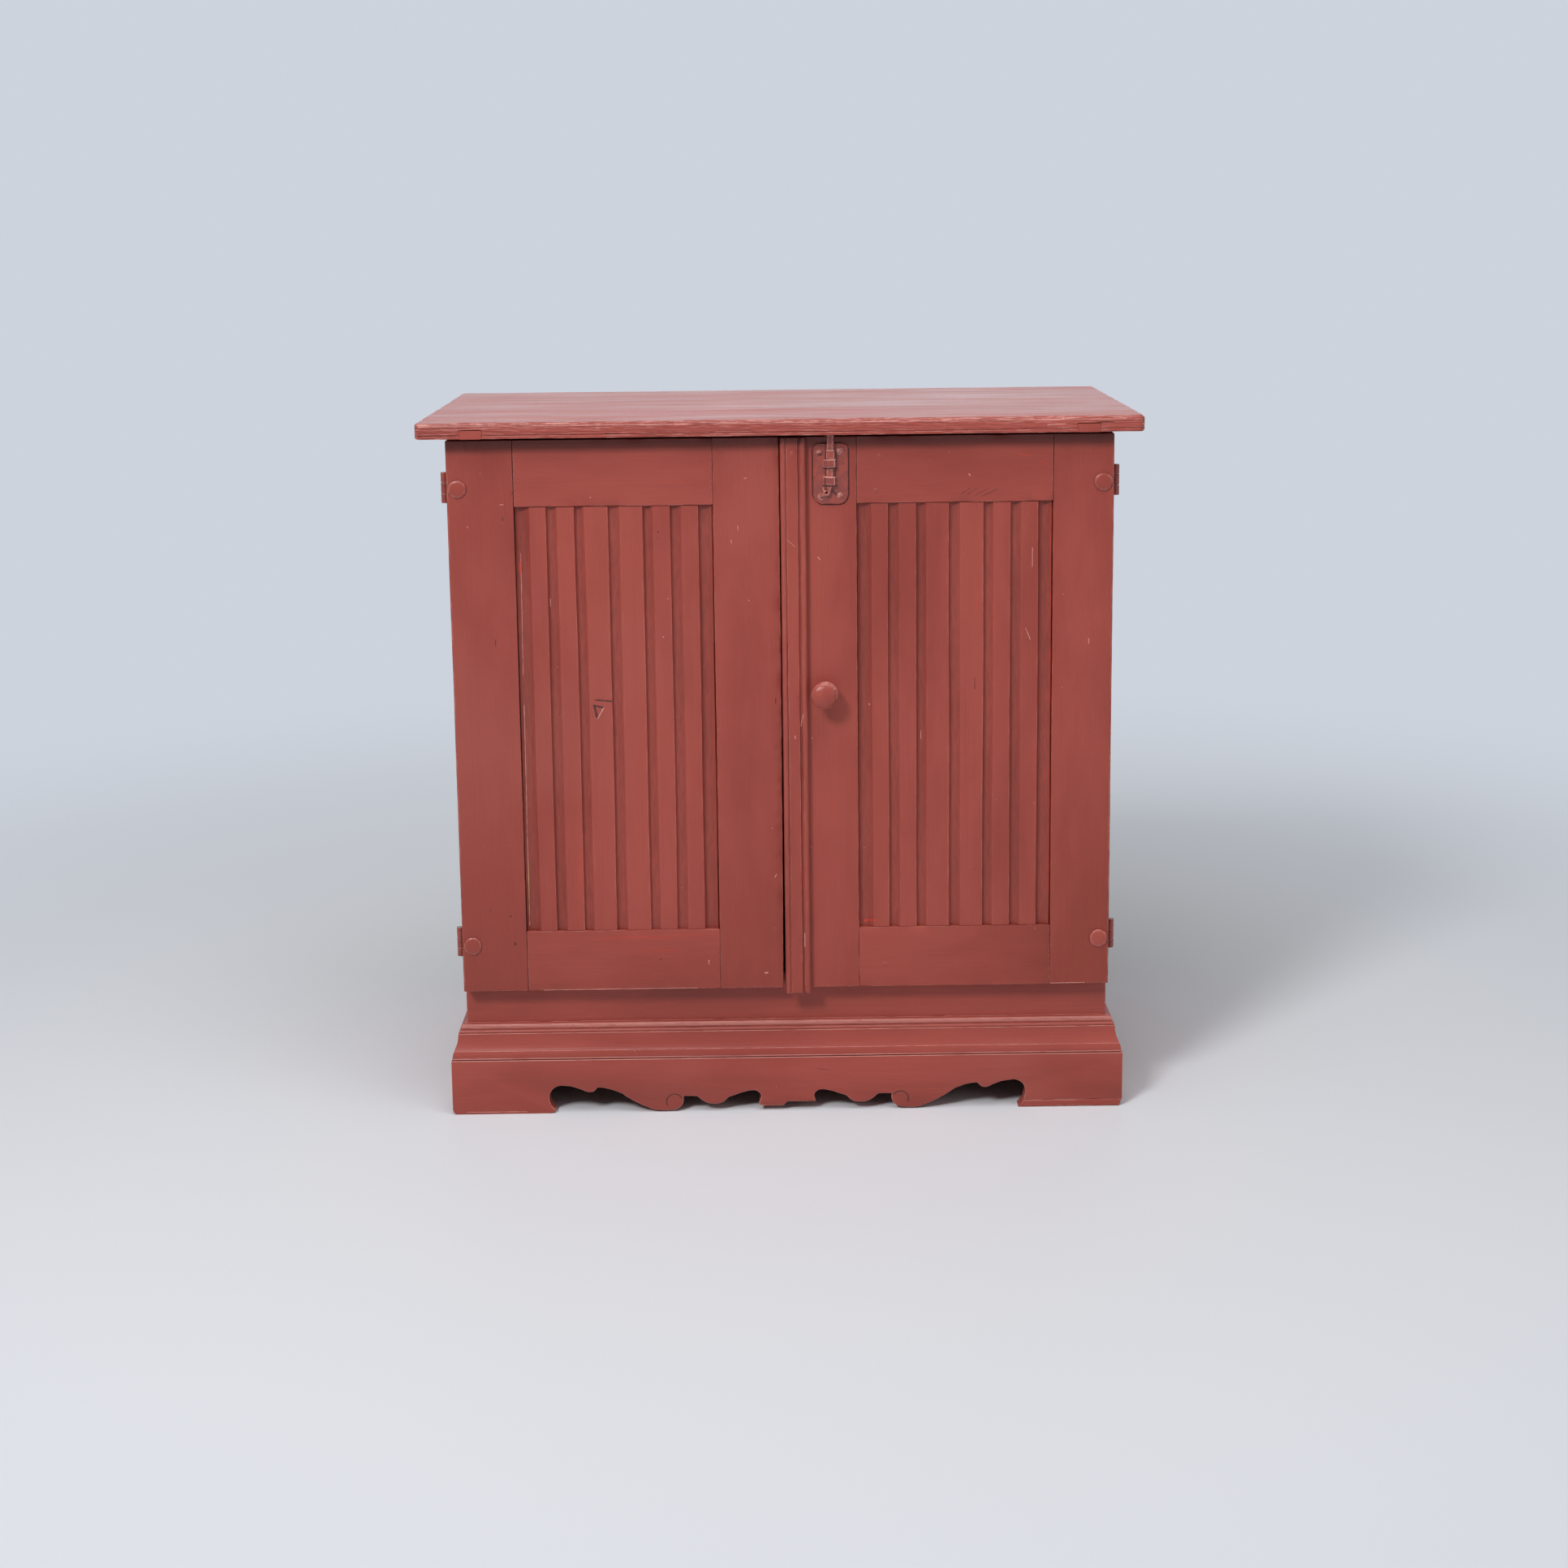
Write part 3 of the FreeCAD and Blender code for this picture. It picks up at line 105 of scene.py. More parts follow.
def ripple(places, pitch, seed):
    """A smooth uneven value, mostly between -1 and 1, at each place: the sum of sine waves
    with directions, lengths and phases from a seeded generator. pitch is the usual
    wavelength along x, y and z."""
    waves = 9
    draw = np.random.default_rng(seed)
    ways = draw.normal(size=(waves, 3))
    ways /= np.linalg.norm(ways, axis=1, keepdims=True)
    ways *= draw.uniform(0.5, 1.9, size=(waves, 1))
    phases = draw.uniform(0, 2 * np.pi, size=waves)
    turns = (places / np.asarray(pitch)) @ ways.T
    return np.sin(2 * np.pi * turns + phases).sum(-1) / math.sqrt(waves)


def three_point_arc(first, middle, last, count):
    """Points on the circle through three points, at even angles from first to last."""
    ax, ay = first
    bx, by = middle
    cx, cy = last
    d = 2 * (ax * (by - cy) + bx * (cy - ay) + cx * (ay - by))
    a2, b2, c2 = ax * ax + ay * ay, bx * bx + by * by, cx * cx + cy * cy
    ux = (a2 * (by - cy) + b2 * (cy - ay) + c2 * (ay - by)) / d
    uy = (a2 * (cx - bx) + b2 * (ax - cx) + c2 * (bx - ax)) / d
    start = math.atan2(ay - uy, ax - ux)
    past = (math.atan2(by - uy, bx - ux) - start) % (2 * math.pi)
    whole = (math.atan2(cy - uy, cx - ux) - start) % (2 * math.pi)
    if past > whole:
        whole -= 2 * math.pi
    angles = start + whole * np.arange(1, count + 1) / count
    return np.stack([ux + np.cos(angles) * math.hypot(ax - ux, ay - uy),
                     uy + np.sin(angles) * math.hypot(ax - ux, ay - uy)], -1)


def drawn(start, table, across, up, count):
    """Points of an outline given as shares: lines end at their point, and arcs pass through
    their first point to their second, with count points each."""
    scale = np.array([across, up])
    points = [np.array([start]) * scale]
    for entry in table:
        if len(entry) == 1:
            points.append(np.array(entry) * scale)
        else:
            arc = three_point_arc(points[-1][-1], *(np.array(e) * scale for e in entry), count)
            points.append(arc)
    return np.concatenate(points)


def eased(corners, radius, steps=3):
    """A closed outline with each corner turned into a short parabola: it leaves the outline
    radius before the corner and meets it radius after. Returns the points and how much
    of an arris each one is, from 0 to 1, or to -1 where it is an inner corner."""
    corners = np.asarray(corners, float)
    radius = np.broadcast_to(radius, len(corners)).astype(float)
    back = np.roll(corners, 1, 0) - corners
    ahead = np.roll(corners, -1, 0) - corners
    back_long = np.linalg.norm(back, axis=1)
    ahead_long = np.linalg.norm(ahead, axis=1)
    reach = np.minimum(radius, 0.45 * np.minimum(back_long, ahead_long))
    start = corners + back / back_long[:, None] * reach[:, None]
    end = corners + ahead / ahead_long[:, None] * reach[:, None]
    t = np.linspace(0, 1, steps + 1)[None, :, None]
    rounds = ((1 - t) ** 2 * start[:, None] + 2 * t * (1 - t) * corners[:, None]
              + t ** 2 * end[:, None])
    turn = np.arctan2(ahead[:, 0] * back[:, 1] - ahead[:, 1] * back[:, 0],
                      -(back * ahead).sum(1))
    x, y = corners.T
    turn *= np.sign((x * np.roll(y, -1) - y * np.roll(x, -1)).sum())
    sharp = np.sign(turn) * np.clip(np.abs(turn) / 0.9 - 0.25, 0, 1)
    return rounds.reshape(-1, 2), np.repeat(sharp, steps + 1)


def outward_2d(points):
    """Unit normals of a closed outline, pointing away from its inside."""
    run = np.roll(points, -1, 0) - np.roll(points, 1, 0)
    normal = np.stack([run[:, 1], -run[:, 0]], -1)
    normal /= np.maximum(np.linalg.norm(normal, axis=1, keepdims=True), 1e-12)
    x, y = points[:, 0], points[:, 1]
    area = (x * np.roll(y, -1) - y * np.roll(x, -1)).sum()
    return normal if area > 0 else -normal


def filled(points, sharp, pitch):
    """The same closed outline with more points on its long straight stretches, near both ends
    and then evenly. The new points are no arris."""
    near = 0.8 * MM
    out, worn = [], []
    for here, there, edge in zip(points, np.roll(points, -1, 0), sharp):
        out.append(here[None])
        worn.append([edge])
        long = np.linalg.norm(there - here)
        if long > 3 * near:
            inner = np.linspace(near, long - near, max(2, int(long / pitch) + 1))
            out.append(here + (there - here) / long * inner[:, None])
            worn.append(np.zeros(len(inner)))
    return np.concatenate(out), np.concatenate(worn)


def stations(low, high, pitch, end):
    """Places along a board from low to high, each with how far the outline is drawn in there:
    a quarter circle of radius end at both ends, and even steps between."""
    angle = np.linspace(0, np.pi / 2, 4)
    drawn_in = end * (1 - np.sin(angle))
    forward = end * (1 - np.cos(angle))
    middle = np.linspace(low + end + 1.5 * MM, high - end - 1.5 * MM,
                         max(2, int((high - low) / pitch)))
    places = np.concatenate([low + forward, middle, (high - forward)[::-1]])
    inset = np.concatenate([drawn_in, np.zeros(len(middle)), drawn_in[::-1]])
    worn = np.concatenate([[1, 1, 1, 0.8], np.zeros(len(middle)), [0.8, 1, 1, 1]])
    return places, inset, worn


# Meshes


def carried(rings):
    """Faces of a closed skin over rings of points: a quad between neighbouring points of
    neighbouring rings, and one face over each end."""
    rows, count = rings.shape[:2]
    index = np.arange(rows * count).reshape(rows, count)
    here, there = index[:-1], index[1:]
    quads = np.stack([here, np.roll(here, -1, 1), np.roll(there, -1, 1), there], -1)
    return quads.reshape(-1, 4).tolist() + [index[0][::-1].tolist(), index[-1].tolist()]


def volume(points, faces):
    """Six times the volume inside closed faces: the sum over triangles of their triple product."""
    corners = np.array([(f[0], f[i], f[i + 1]) for f in faces for i in range(1, len(f) - 1)])
    a, b, c = (points[corners[:, i]] for i in range(3))
    return np.einsum("ij,ij->i", a, np.cross(b, c)).sum()


def piece(node, parts, material, body, crease=34, new=False):
    """One object from parts, each (points, faces, worn): its faces turned outwards, its worn
    values in the attribute the paint reads, riding on body and standing for a CAD node of its
    name, unless it is new."""
    name = node if new else node + "_worn"
    points, faces, worn = [], [], []
    total = 0
    for part in parts:
        spots = part[0].reshape(-1, 3)
        skin = part[1]
        if volume(spots - spots.mean(0), skin) < 0:
            skin = [f[::-1] for f in skin]
        faces += [[i + total for i in f] for f in skin]
        points.append(spots)
        worn.append(np.broadcast_to(part[2], part[0].shape[:-1]).reshape(-1))
        total += len(spots)
    mesh = bpy.data.meshes.new(name)
    mesh.from_pydata(np.concatenate(points).tolist(), [], faces)
    mesh.update()
    mesh.shade_smooth()
    mesh.set_sharp_from_angle(angle=math.radians(crease))
    values = mesh.attributes.new("worn", "FLOAT", "POINT")
    values.data.foreach_set("value", np.concatenate(worn).astype(np.float32))
    mesh.materials.append(material)
    obj = bpy.data.objects.new(name, mesh)
    bpy.context.collection.objects.link(obj)
    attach(obj, body)
    if not new:
        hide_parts(node)
    return obj


def run(outline, sharp, axis, places, inset, worn, seed, wave=0.25, chip=0.8,
        origin=(0, 0, 0), grain=34 * MM, slope=None, rim=True):
    """A closed outline carried along one axis. The outline's two numbers go to the other two
    axes in order, added to origin. The skin sinks by a slow wave, and on arrises by a quicker
    one, grain long, where it is past its middle, so that edges look knocked and rubbed.
    slope, if given, is how far each outline point's ends reach beyond the places. With rim the
    outline shrinks towards its middle at the ends, and one more in each end face keeps the
    wear at its edge; without, it is drawn in along its normals."""
    others = [i for i in range(3) if i != axis]
    normal = outward_2d(outline)
    rings = np.zeros((len(places), len(outline), 3))
    if rim:
        middle = (outline.max(0) + outline.min(0)) / 2
        half = (outline.max(0) - outline.min(0)) / 2
        flat = middle + (outline - middle) * (1 - inset[:, None, None] / half)
    else:
        flat = outline[None] - normal[None] * inset[:, None, None]
    rings[..., others[0]] = flat[..., 0] + origin[others[0]]
    rings[..., others[1]] = flat[..., 1] + origin[others[1]]
    rings[..., axis] = places[:, None]
    if slope is not None:
        low, high = places[0], places[-1]
        share = (places - low) / (high - low)
        rings[..., axis] += -slope[0] * (1 - share[:, None]) + slope[1] * share[:, None]
    edge = np.where(worn[:, None] > 0, worn[:, None], sharp[None])
    sink = wave * MM * (0.6 + 0.4 * ripple(rings, along(axis, 30 * MM, 260 * MM), seed))
    quick = ripple(rings, along(axis, 9 * MM, grain), seed + 1)
    sink += chip * shape().chip * MM * np.clip(edge, 0, 1) * np.clip(quick - 0.15, 0, 1.2)
    away = np.zeros_like(rings)
    away[..., others[0]] = normal[:, 0]
    away[..., others[1]] = normal[:, 1]
    rings -= away * np.maximum(sink, 0)[..., None]
    if rim and slope is None:
        ends = rings[[0, -1]]
        top, bottom = ends.max(1, keepdims=True), ends.min(1, keepdims=True)
        middle = (top + bottom) / 2
        half = np.maximum((top - bottom) / 2, 4 * MM)
        ends = middle + (ends - middle) * (1 - 1.5 * MM / half)
        rings = np.concatenate([ends[:1], rings, ends[1:]])
        edge = np.concatenate([0 * edge[:1], edge, 0 * edge[:1]])
    return rings, carried(rings), edge


def rectangle(low, high, a, b):
    """The four corners of a box's section across axes a and b."""
    return [(low[a], low[b]), (high[a], low[b]), (high[a], high[b]), (low[a], high[b])]


def board(corners, radius, axis, low, high, seed, wave=0.25, chip=0.8, end=1.2, pitch=9):
    """A board: an outline with eased corners carried along one axis and drawn in at its ends.
    radius, end and pitch are in millimetres."""
    outline, sharp = filled(*eased(corners, np.asarray(radius) * MM), 12 * MM)
    places, inset, worn = stations(low, high, pitch * MM, end * MM)
    return run(outline, sharp, axis, places, inset, worn, seed, wave, chip)


def plank(low, high, axis, radius, seed, wave=0.25, chip=0.8, end=None, pitch=9):
    """A board that fills a box. radius is one number or four, from the low corner round by the
    first cross axis."""
    corners = rectangle(low, high, *(i for i in range(3) if i != axis))
    end = min(np.min(radius), 1.2) if end is None else end
    return board(corners, radius, axis, low[axis], high[axis], seed, wave, chip, end, pitch)


def sheet(outline, radius, axis, low, high, seed, wave=0.0, chip=0.4, end=0.8, steps=3,
          worn=(1, 1)):
    """An outline of any form with eased corners, carried through a thin board's thickness.
    worn is how much of an arris its corners and the rims of its faces are."""
    outline, sharp = eased(outline, np.asarray(radius) * MM, steps)
    places, inset, rims = stations(low, high, 7 * MM, end * MM)
    # Just above 0, which keeps the corners' own wear off the flat faces
    rims[[0, -1]] = 1e-6
    return run(outline, sharp * worn[0], axis, places, inset, rims * worn[1], seed, wave, chip,
               rim=False)


def bar(path, half, near, far):
    """A flat bar carried along a path drawn across and up, in millimetres: at each point its
    section is a rectangle as wide as twice half, square to the path, between two depths, with
    soft corners."""
    soft = 0.7
    path, half = np.asarray(path, float) * MM, np.asarray(half, float)[:, None] * MM
    heading = np.gradient(path, axis=0)
    heading /= np.linalg.norm(heading, axis=1, keepdims=True)
    across = np.stack([heading[:, 1], -heading[:, 0]], -1)
    deep = (far - near) * MM
    c, d = soft * MM / half, soft * MM / deep
    one = np.ones_like(half)
    a = np.concatenate([-one, -one + c, 0 * one, one - c, one, one, one, one - c, 0 * one,
                        -one + c, -one, -one], 1)
    b = np.array([d, 0, 0, 0, d, 0.5, 1 - d, 1, 1, 1, 1 - d, 0.5])
    rings = np.zeros((len(path), len(b), 3))
    rings[..., [0, 2]] = path[:, None] + across[:, None] * (a * half)[..., None]
    rings[..., 1] = near * MM + b * deep
    rings += 0.15 * MM * ripple(rings, (6 * MM,) * 3, 5)[..., None]
    # Rubbed in front, and painted shade behind, where it lies against the door
    edge = [0.8, 0.8, 0, 0.6, 0.6, -0.4, -1, -1, -1, -1, -1, -0.4]
    return rings, carried(rings), np.broadcast_to(edge, (len(path), len(b)))


def turned(profile, worn, centre=(0, 0, 0), axis_y=True, *, steps, wobble, lean=(0, 0), seed=3):
    """A turned piece: a profile of (radius, out) pairs in millimetres carried round a circle,
    standing out along -y or, if not axis_y, up along z. lean shifts it sideways in step with
    out, and wobble makes it uneven."""
    profile = np.asarray(profile) * MM
    angle = np.linspace(0, 2 * np.pi, steps, endpoint=False)
    radius, out = profile[:, :1], profile[:, 1:]
    across, up = radius * np.cos(angle), radius * np.sin(angle)
    rings = np.zeros((len(profile), steps, 3))
    if axis_y:
        rings[..., 0] = across + out * lean[0]
        rings[..., 1] = -out
        rings[..., 2] = up + out * lean[1]
    else:
        rings[..., 0], rings[..., 1], rings[..., 2] = across, up, out
    rings *= 1 + wobble * ripple(rings, (9 * MM,) * 3, seed)[..., None]
    return rings + np.asarray(centre), carried(rings), np.asarray(worn)[:, None]


def head(profile, worn, place, stretch, **words):
    """The head and shank of a nail or rivet: turned, stretched along each axis, and moved."""
    rings, faces, edge = turned(profile, worn, **words)
    return rings * stretch + place, faces, edge


def softened(points, radius, steps):
    """An open profile with each inner corner turned into a short parabola."""
    points = np.asarray(points, float)
    ring = eased(points, radius, steps)[0]
    inner = slice(steps + 1, -(steps + 1))
    return np.concatenate([points[:1], ring[inner], points[-1:]])


# Shaders


def colour(red, green, blue):
    """A colour written as it shows on a screen, from 0 to 255, as Blender's linear values."""
    share = np.array([red, green, blue]) / 255
    linear = np.where(share <= 0.04045, share / 12.92, ((share + 0.055) / 1.055) ** 2.4)
    return (*linear.tolist(), 1.0)


def tone(key):
    """A colour of the settings, with full cover."""
    return (*getattr(bpy.context.scene.cupboard_paint, key), 1)


class Web:
    """Adds nodes to a material or a world and links them."""

    def __init__(self, owner):
        owner.use_nodes = True
        self.owner, self.tree = owner, owner.node_tree
        self.tree.nodes.clear()
        if isinstance(owner, bpy.types.World):
            self.end = self.add("OutputWorld").inputs[0]
        else:
            self.end = self.add("OutputMaterial").inputs[0]
            self.place = self.add("TexCoord").outputs["Object"]

    def put(self, socket, value):
        if isinstance(value, bpy.types.NodeSocket):
            self.tree.links.new(value, socket)
        else:
            socket.default_value = value

    def add(self, kind, *inputs, **settings):
        """A node. The inputs go to its first sockets in order, and None leaves one alone."""
        node = self.tree.nodes.new("ShaderNode" + kind)
        for key, value in settings.items():
            setattr(node, key, value)
        for socket, value in zip(node.inputs, inputs):
            if value is not None:
                self.put(socket, value)
        return node

    def stretched(self, scale, shift):
        """Object coordinates times a scale along each axis, then shifted."""
        return self.add("Mapping", self.place, shift, None, scale).outputs[0]

    def noise(self, scale, shift=(0, 0, 0), detail=3.0, roughness=0.55, distortion=0.0):
        node = self.add("TexNoise", self.stretched(scale, shift))
        for key, value in (("Scale", 1.0), ("Detail", detail), ("Roughness", roughness),
                           ("Distortion", distortion)):
            node.inputs[key].default_value = value
        return node.outputs[0]

    def chips(self, scale, size, share, shift=(0, 0, 0)):
        """Small round spots: cells of a Voronoi pattern, of which a share holds a spot."""
        node = self.add("TexVoronoi", self.stretched(scale, shift))
        node.inputs["Scale"].default_value = 1.0
        split = self.add("SeparateColor", node.outputs["Color"])
        return self.times(self.span(node.outputs["Distance"], size, size * 0.55),
                          self.math("LESS_THAN", split.outputs[0], share))

    def span(self, value, low, high, first=0.0, last=1.0):
        """Value's place between low and high, eased at both, as a number from first to last."""
        return self.add("MapRange", value, low, high, first, last,
                        interpolation_type="SMOOTHSTEP", clamp=True).outputs[0]

    def math(self, operation, first, second=0.5, clamp=False):
        return self.add("Math", first, second, operation=operation, use_clamp=clamp).outputs[0]

    def times(self, first, second):
        return self.math("MULTIPLY", first, second)

    def vector(self, operation, first, second=(0, 0, 0)):
        """A vector, or a number where the operation gives one."""
        node = self.add("VectorMath", first, second, operation=operation)
        return node.outputs["Value" if operation in ("LENGTH", "DOT_PRODUCT") else 0]

    def split(self):
        """Object coordinates X, Y and Z as numbers."""
        return self.add("SeparateXYZ", self.place).outputs

    def mix(self, share, first, second, blend="MIX"):
        node = self.add("Mix", share, data_type="RGBA", blend_type=blend)
        self.put(node.inputs[6], first)
        self.put(node.inputs[7], second)
        return node.outputs[2]

    def over(self, body, share, key):
        """A colour with one of the settings' colours laid over it."""
        return self.mix(share, body, tone(key))

    def seen(self):
        """1 for what the camera or a mirror image sees, else 0."""
        path = self.add("LightPath").outputs
        return self.math("MAXIMUM", path["Is Camera Ray"], path["Is Glossy Ray"])

    def stroke(self, flat, start, end, width, rough):
        """A soft-edged stroke between two points of the front, roughened by a noise: how near
        the surface is to the line between them, in millimetres across and up."""
        first = np.array([start[0], 0, start[1]]) * MM
        line = np.array([end[0], 0, end[1]]) * MM - first
        away = self.vector("SUBTRACT", flat, tuple(first))
        share = self.vector("DOT_PRODUCT", away, tuple(line / max(line @ line, 1e-12)))
        share = self.math("ADD", share, 0.0, clamp=True)
        nearest = self.add("VectorMath", tuple(line), None, None, share, operation="SCALE")
        gap = self.vector("LENGTH", self.vector("SUBTRACT", away, nearest.outputs[0]))
        uneven = self.times(self.math("SUBTRACT", rough, 0.5), width * 3 * MM)
        return self.span(self.math("ADD", gap, uneven), width * MM, width * 0.35 * MM)

    def ring(self, flat, middle, bend, width):
        """A cut line along part of a circle: how near the distance from its middle is to the
        radius, where the direction from the middle lies between two angles."""
        radius, first, last = bend
        away = self.vector("SUBTRACT", flat, (middle[0] * MM, 0, middle[1] * MM))
        far = self.vector("LENGTH", away)
        gap = self.math("ABSOLUTE", self.math("SUBTRACT", far, radius * MM))
        half = math.radians((last - first) / 2)
        aim = math.radians((last + first) / 2)
        turn = self.vector("DOT_PRODUCT", self.vector("NORMALIZE", away),
                           (math.cos(aim), 0, math.sin(aim)))
        within = self.span(turn, math.cos(half), math.cos(half) + 0.08)
        return self.times(within, self.span(gap, width * MM, width * 0.4 * MM))

    # Colour and strength of each kind of mark, and whether it cuts into the surface. The dark
    # colour serves both dirt and painted shade, and the pale one both wear and painted highlights
    KINDS = {"bright": ("bright", 0.85, False), "bare": ("wood", 0.85, True),
             "worn": ("worn", 0.85, False), "dark": ("dirt_or_shade", 0.85, True),
             "ring": ("dirt_or_shade", 0.85, True), "painted_shade": ("dirt_or_shade", 0.72, False),
             "joint_and_shade": ("dirt_or_shade", 0.9, True)}

    def marked(self, body, marks, rough):
        """The colour with marks painted in, and how deep they cut. Each mark is (kind, start,
        end, width) in millimetres across and up, or ("ring", middle, (radius, first and last
        degree), width). It shows on the front only: less than 11 mm behind the doors' face."""
        front = self.math("LESS_THAN", self.split()["Y"], (DOOR_FACE + 11) * MM)
        flat = self.vector("MULTIPLY", self.place, (1, 0, 1))
        cut = 0.0
        for kind, start, end, width in marks:
            if kind == "ring":
                mark = self.ring(flat, start, end, width)
            else:
                even = kind in ("painted_shade", "joint_and_shade")
                mark = self.stroke(flat, start, end, width, 0.5 if even else rough)
            key, strength, cuts = self.KINDS[kind]
            mark = self.times(mark, front)
            body = self.over(body, self.times(mark, strength), key)
            if cuts:
                cut = self.math("MAXIMUM", mark, cut)
        return body, cut

    def worn(self):
        return self.add("Attribute", attribute_name="worn").outputs["Fac"]

    def bump(self, height, distance, strength=1.0):
        node = self.add("Bump")
        node.inputs["Strength"].default_value = strength
        node.inputs["Distance"].default_value = distance
        self.put(node.inputs["Height"], height)
        return node.outputs[0]

    def finish(self, base, roughness, normal, specular=0.5):
        """Puts a shader at the web's end and returns the material."""
        shader = self.add("BsdfPrincipled")
        for key, value in (("Base Color", base), ("Roughness", roughness), ("Normal", normal),
                           ("Specular IOR Level", specular)):
            self.put(shader.inputs[key], value)
        self.put(self.end, shader.outputs[0])
        return self.owner


def paint(web, axis, wear=0.3, streak=0.3, depth=0.12, marks=(), gloss=(0.38, 0.56),
          spread=(0.44, 0.62), grit=300, low=False):
    """Old oxide-red paint over wood: slow blotches, brush and grain streaks along axis, rubbed
    bright streaks, pale worn arrises, dirt and painted shade in inner corners, small chips, and
    marks. wear is how strongly arrises show, spread the range of noise over which they start to,
    and grit how fine that noise is. depth is the relief in millimetres, and gloss the range of
    roughness. With low it darkens towards the floor as painted shade, from higher up at the right
    edge."""
    slow = web.noise(along(axis, 7, 2.2), detail=4, roughness=0.6)
    body = web.mix(web.span(slow, 0.36, 0.66), tone("dark"), tone("base"))
    patch = web.noise((3.1, 3.1, 3.1), (4, 1, 7), detail=2)
    body = web.over(body, web.span(patch, 0.5, 0.75, 0, 0.5), "dusty")
    grain = web.noise(along(axis, 240, 5), detail=5, roughness=0.62)
    body = web.over(body, web.span(grain, 0.45, 0.8, 0, streak), "dark")
    rub = web.noise(along(axis, 80, 5), (2, 8, 5), detail=6, roughness=0.7)
    rubbed = web.times(web.span(rub, 0.6, 0.74), web.span(patch, 0.62, 0.4))
    body = web.over(body, web.times(rubbed, 0.35), "bright")
    # Painted shade: darker towards the floor
    if low:
        spot = web.split()
        height = web.math("SUBTRACT", spot["Z"], web.span(spot["X"], 0.3, 0.42, 0, 0.25))
        painted_shade_at_floor = (0.74, 0.65, 0.58, 1)
        body = web.mix(web.span(height, 0.32, 0.0), body, painted_shade_at_floor, "MULTIPLY")
    arris = web.worn()
    fray = web.noise(along(axis, grit, 45), (1, 2, 3), detail=5, roughness=0.7)
    edge = web.times(web.math("MAXIMUM", arris, 0.0), web.span(fray, *spread))
    body = web.over(body, web.times(edge, wear), "worn")
    # Dirt and painted shade where the worn value is below 0: inner corners, the panels' hollows and
    # where parts meet
    inner = web.times(web.math("MINIMUM", arris, 0.0), web.span(fray, 0.3, 0.7, -0.1, -0.6))
    body = web.over(body, inner, "dirt_or_shade")
    chips = web.chips((58, 58, 58), 0.055, 0.16, (3, 3, 3))
    body = web.over(body, web.times(chips, 0.65), "worn")
    specks = web.chips((150, 150, 150), 0.1, 0.04, (5, 3, 1))
    body = web.over(body, web.times(specks, 0.5), "dirt_or_shade")
    sunk = chips
    if marks:
        body, cut = web.marked(body, marks, fray)
        sunk = web.math("MAXIMUM", sunk, cut)
    fine = web.noise(along(axis, 800, 30), detail=3)
    height = web.math("ADD", grain, web.times(fine, 0.4))
    normal = web.bump(web.math("SUBTRACT", height, sunk), depth * MM * 4, 0.8)
    rough = web.span(web.math("ADD", grain, web.times(slow, 0.7)), 0.6, 1.1, *gloss)
    return web.finish(body, rough, normal, 0.42)


def bare_wood(web, axis, start=0):
    """Old unpainted pine: growth rings cut lengthwise, each darkening slowly and ending sharply,
    with knots, grey dirt and fine grain along axis. start moves the pattern."""
    shift = (start * 3.1, start * 1.7, start * 2.3)
    slow = web.noise(along(axis, 11, 0.8), shift, detail=2, roughness=0.4, distortion=0.4)
    ring = web.math("FRACT", web.times(slow, 19.0))
    body = web.mix(web.span(ring, 0.25, 1.0, 0, 0.65), tone("wood"), tone("wood_dark"))
    patch = web.noise(along(axis, 5, 0.6), shift, detail=2)
    body = web.over(body, web.span(patch, 0.4, 0.7, 0, 0.4), "wood_grey")
    knots = web.chips(along(axis, 8, 4.5), 0.09, 0.22, shift)
    body = web.over(body, web.times(knots, 0.8), "rust")
    dirt_or_shade = web.noise((6, 6, 6), detail=5, roughness=0.65)
    body = web.over(body, web.span(dirt_or_shade, 0.5, 0.8, 0, 0.45), "wood_grey")
    fine = web.noise(along(axis, 600, 9), detail=5, roughness=0.65)
    body = web.over(body, web.span(fine, 0.45, 0.75, 0, 0.4), "wood_grey")
    rough = web.span(fine, 0.2, 0.8, 0.6, 0.85)
    height = web.math("ADD", fine, web.times(ring, 0.5))
    return web.finish(body, rough, web.bump(height, 0.3 * MM, 0.7), 0.3)


def iron(web, marks=()):
    """Forged iron under the same red paint: lumpy, with pale worn spots, painted highlights on
    arrises, and painted shade in its hollows and where it meets the door.
    """
    lump = web.noise((95, 95, 95), detail=3, roughness=0.5)
    body = web.mix(web.span(lump, 0.35, 0.7), tone("iron"), tone("base"))
    grit = web.noise((420, 420, 420), detail=4)
    arris = web.worn()
    # Pale worn edges, with painted highlights along the tops of the straps
    rubbed = web.times(web.math("MAXIMUM", arris, 0.0), web.span(grit, 0.34, 0.54))
    body = web.over(body, web.times(rubbed, 0.6), "worn")
    # Painted shade where the worn value is below 0: round the plate's foot, under the straps and
    # behind the bolt
    body = web.over(body, web.times(web.math("MINIMUM", arris, 0.0), -0.8), "dirt_or_shade")
    spots = web.chips((330, 330, 330), 0.2, 0.06)
    body = web.over(body, web.times(spots, 0.6), "bare_iron")
    if marks:
        body = web.marked(body, marks, grit)[0]
    rough = web.span(lump, 0.3, 0.8, 0.22, 0.42)
    return web.finish(body, rough, web.bump(lump, 0.35 * MM, 0.7))


def rust(web):
    """Bare iron under old rust: brown and dark grey patches, rough all over."""
    patch = web.noise((260, 260, 260), detail=5, roughness=0.7)
    body = web.mix(web.span(patch, 0.35, 0.65), tone("bare_iron"), tone("rust"))
    return web.finish(body, web.span(patch, 0.3, 0.7, 0.55, 0.85), web.bump(patch, 0.4 * MM, 0.8),
                      0.4)


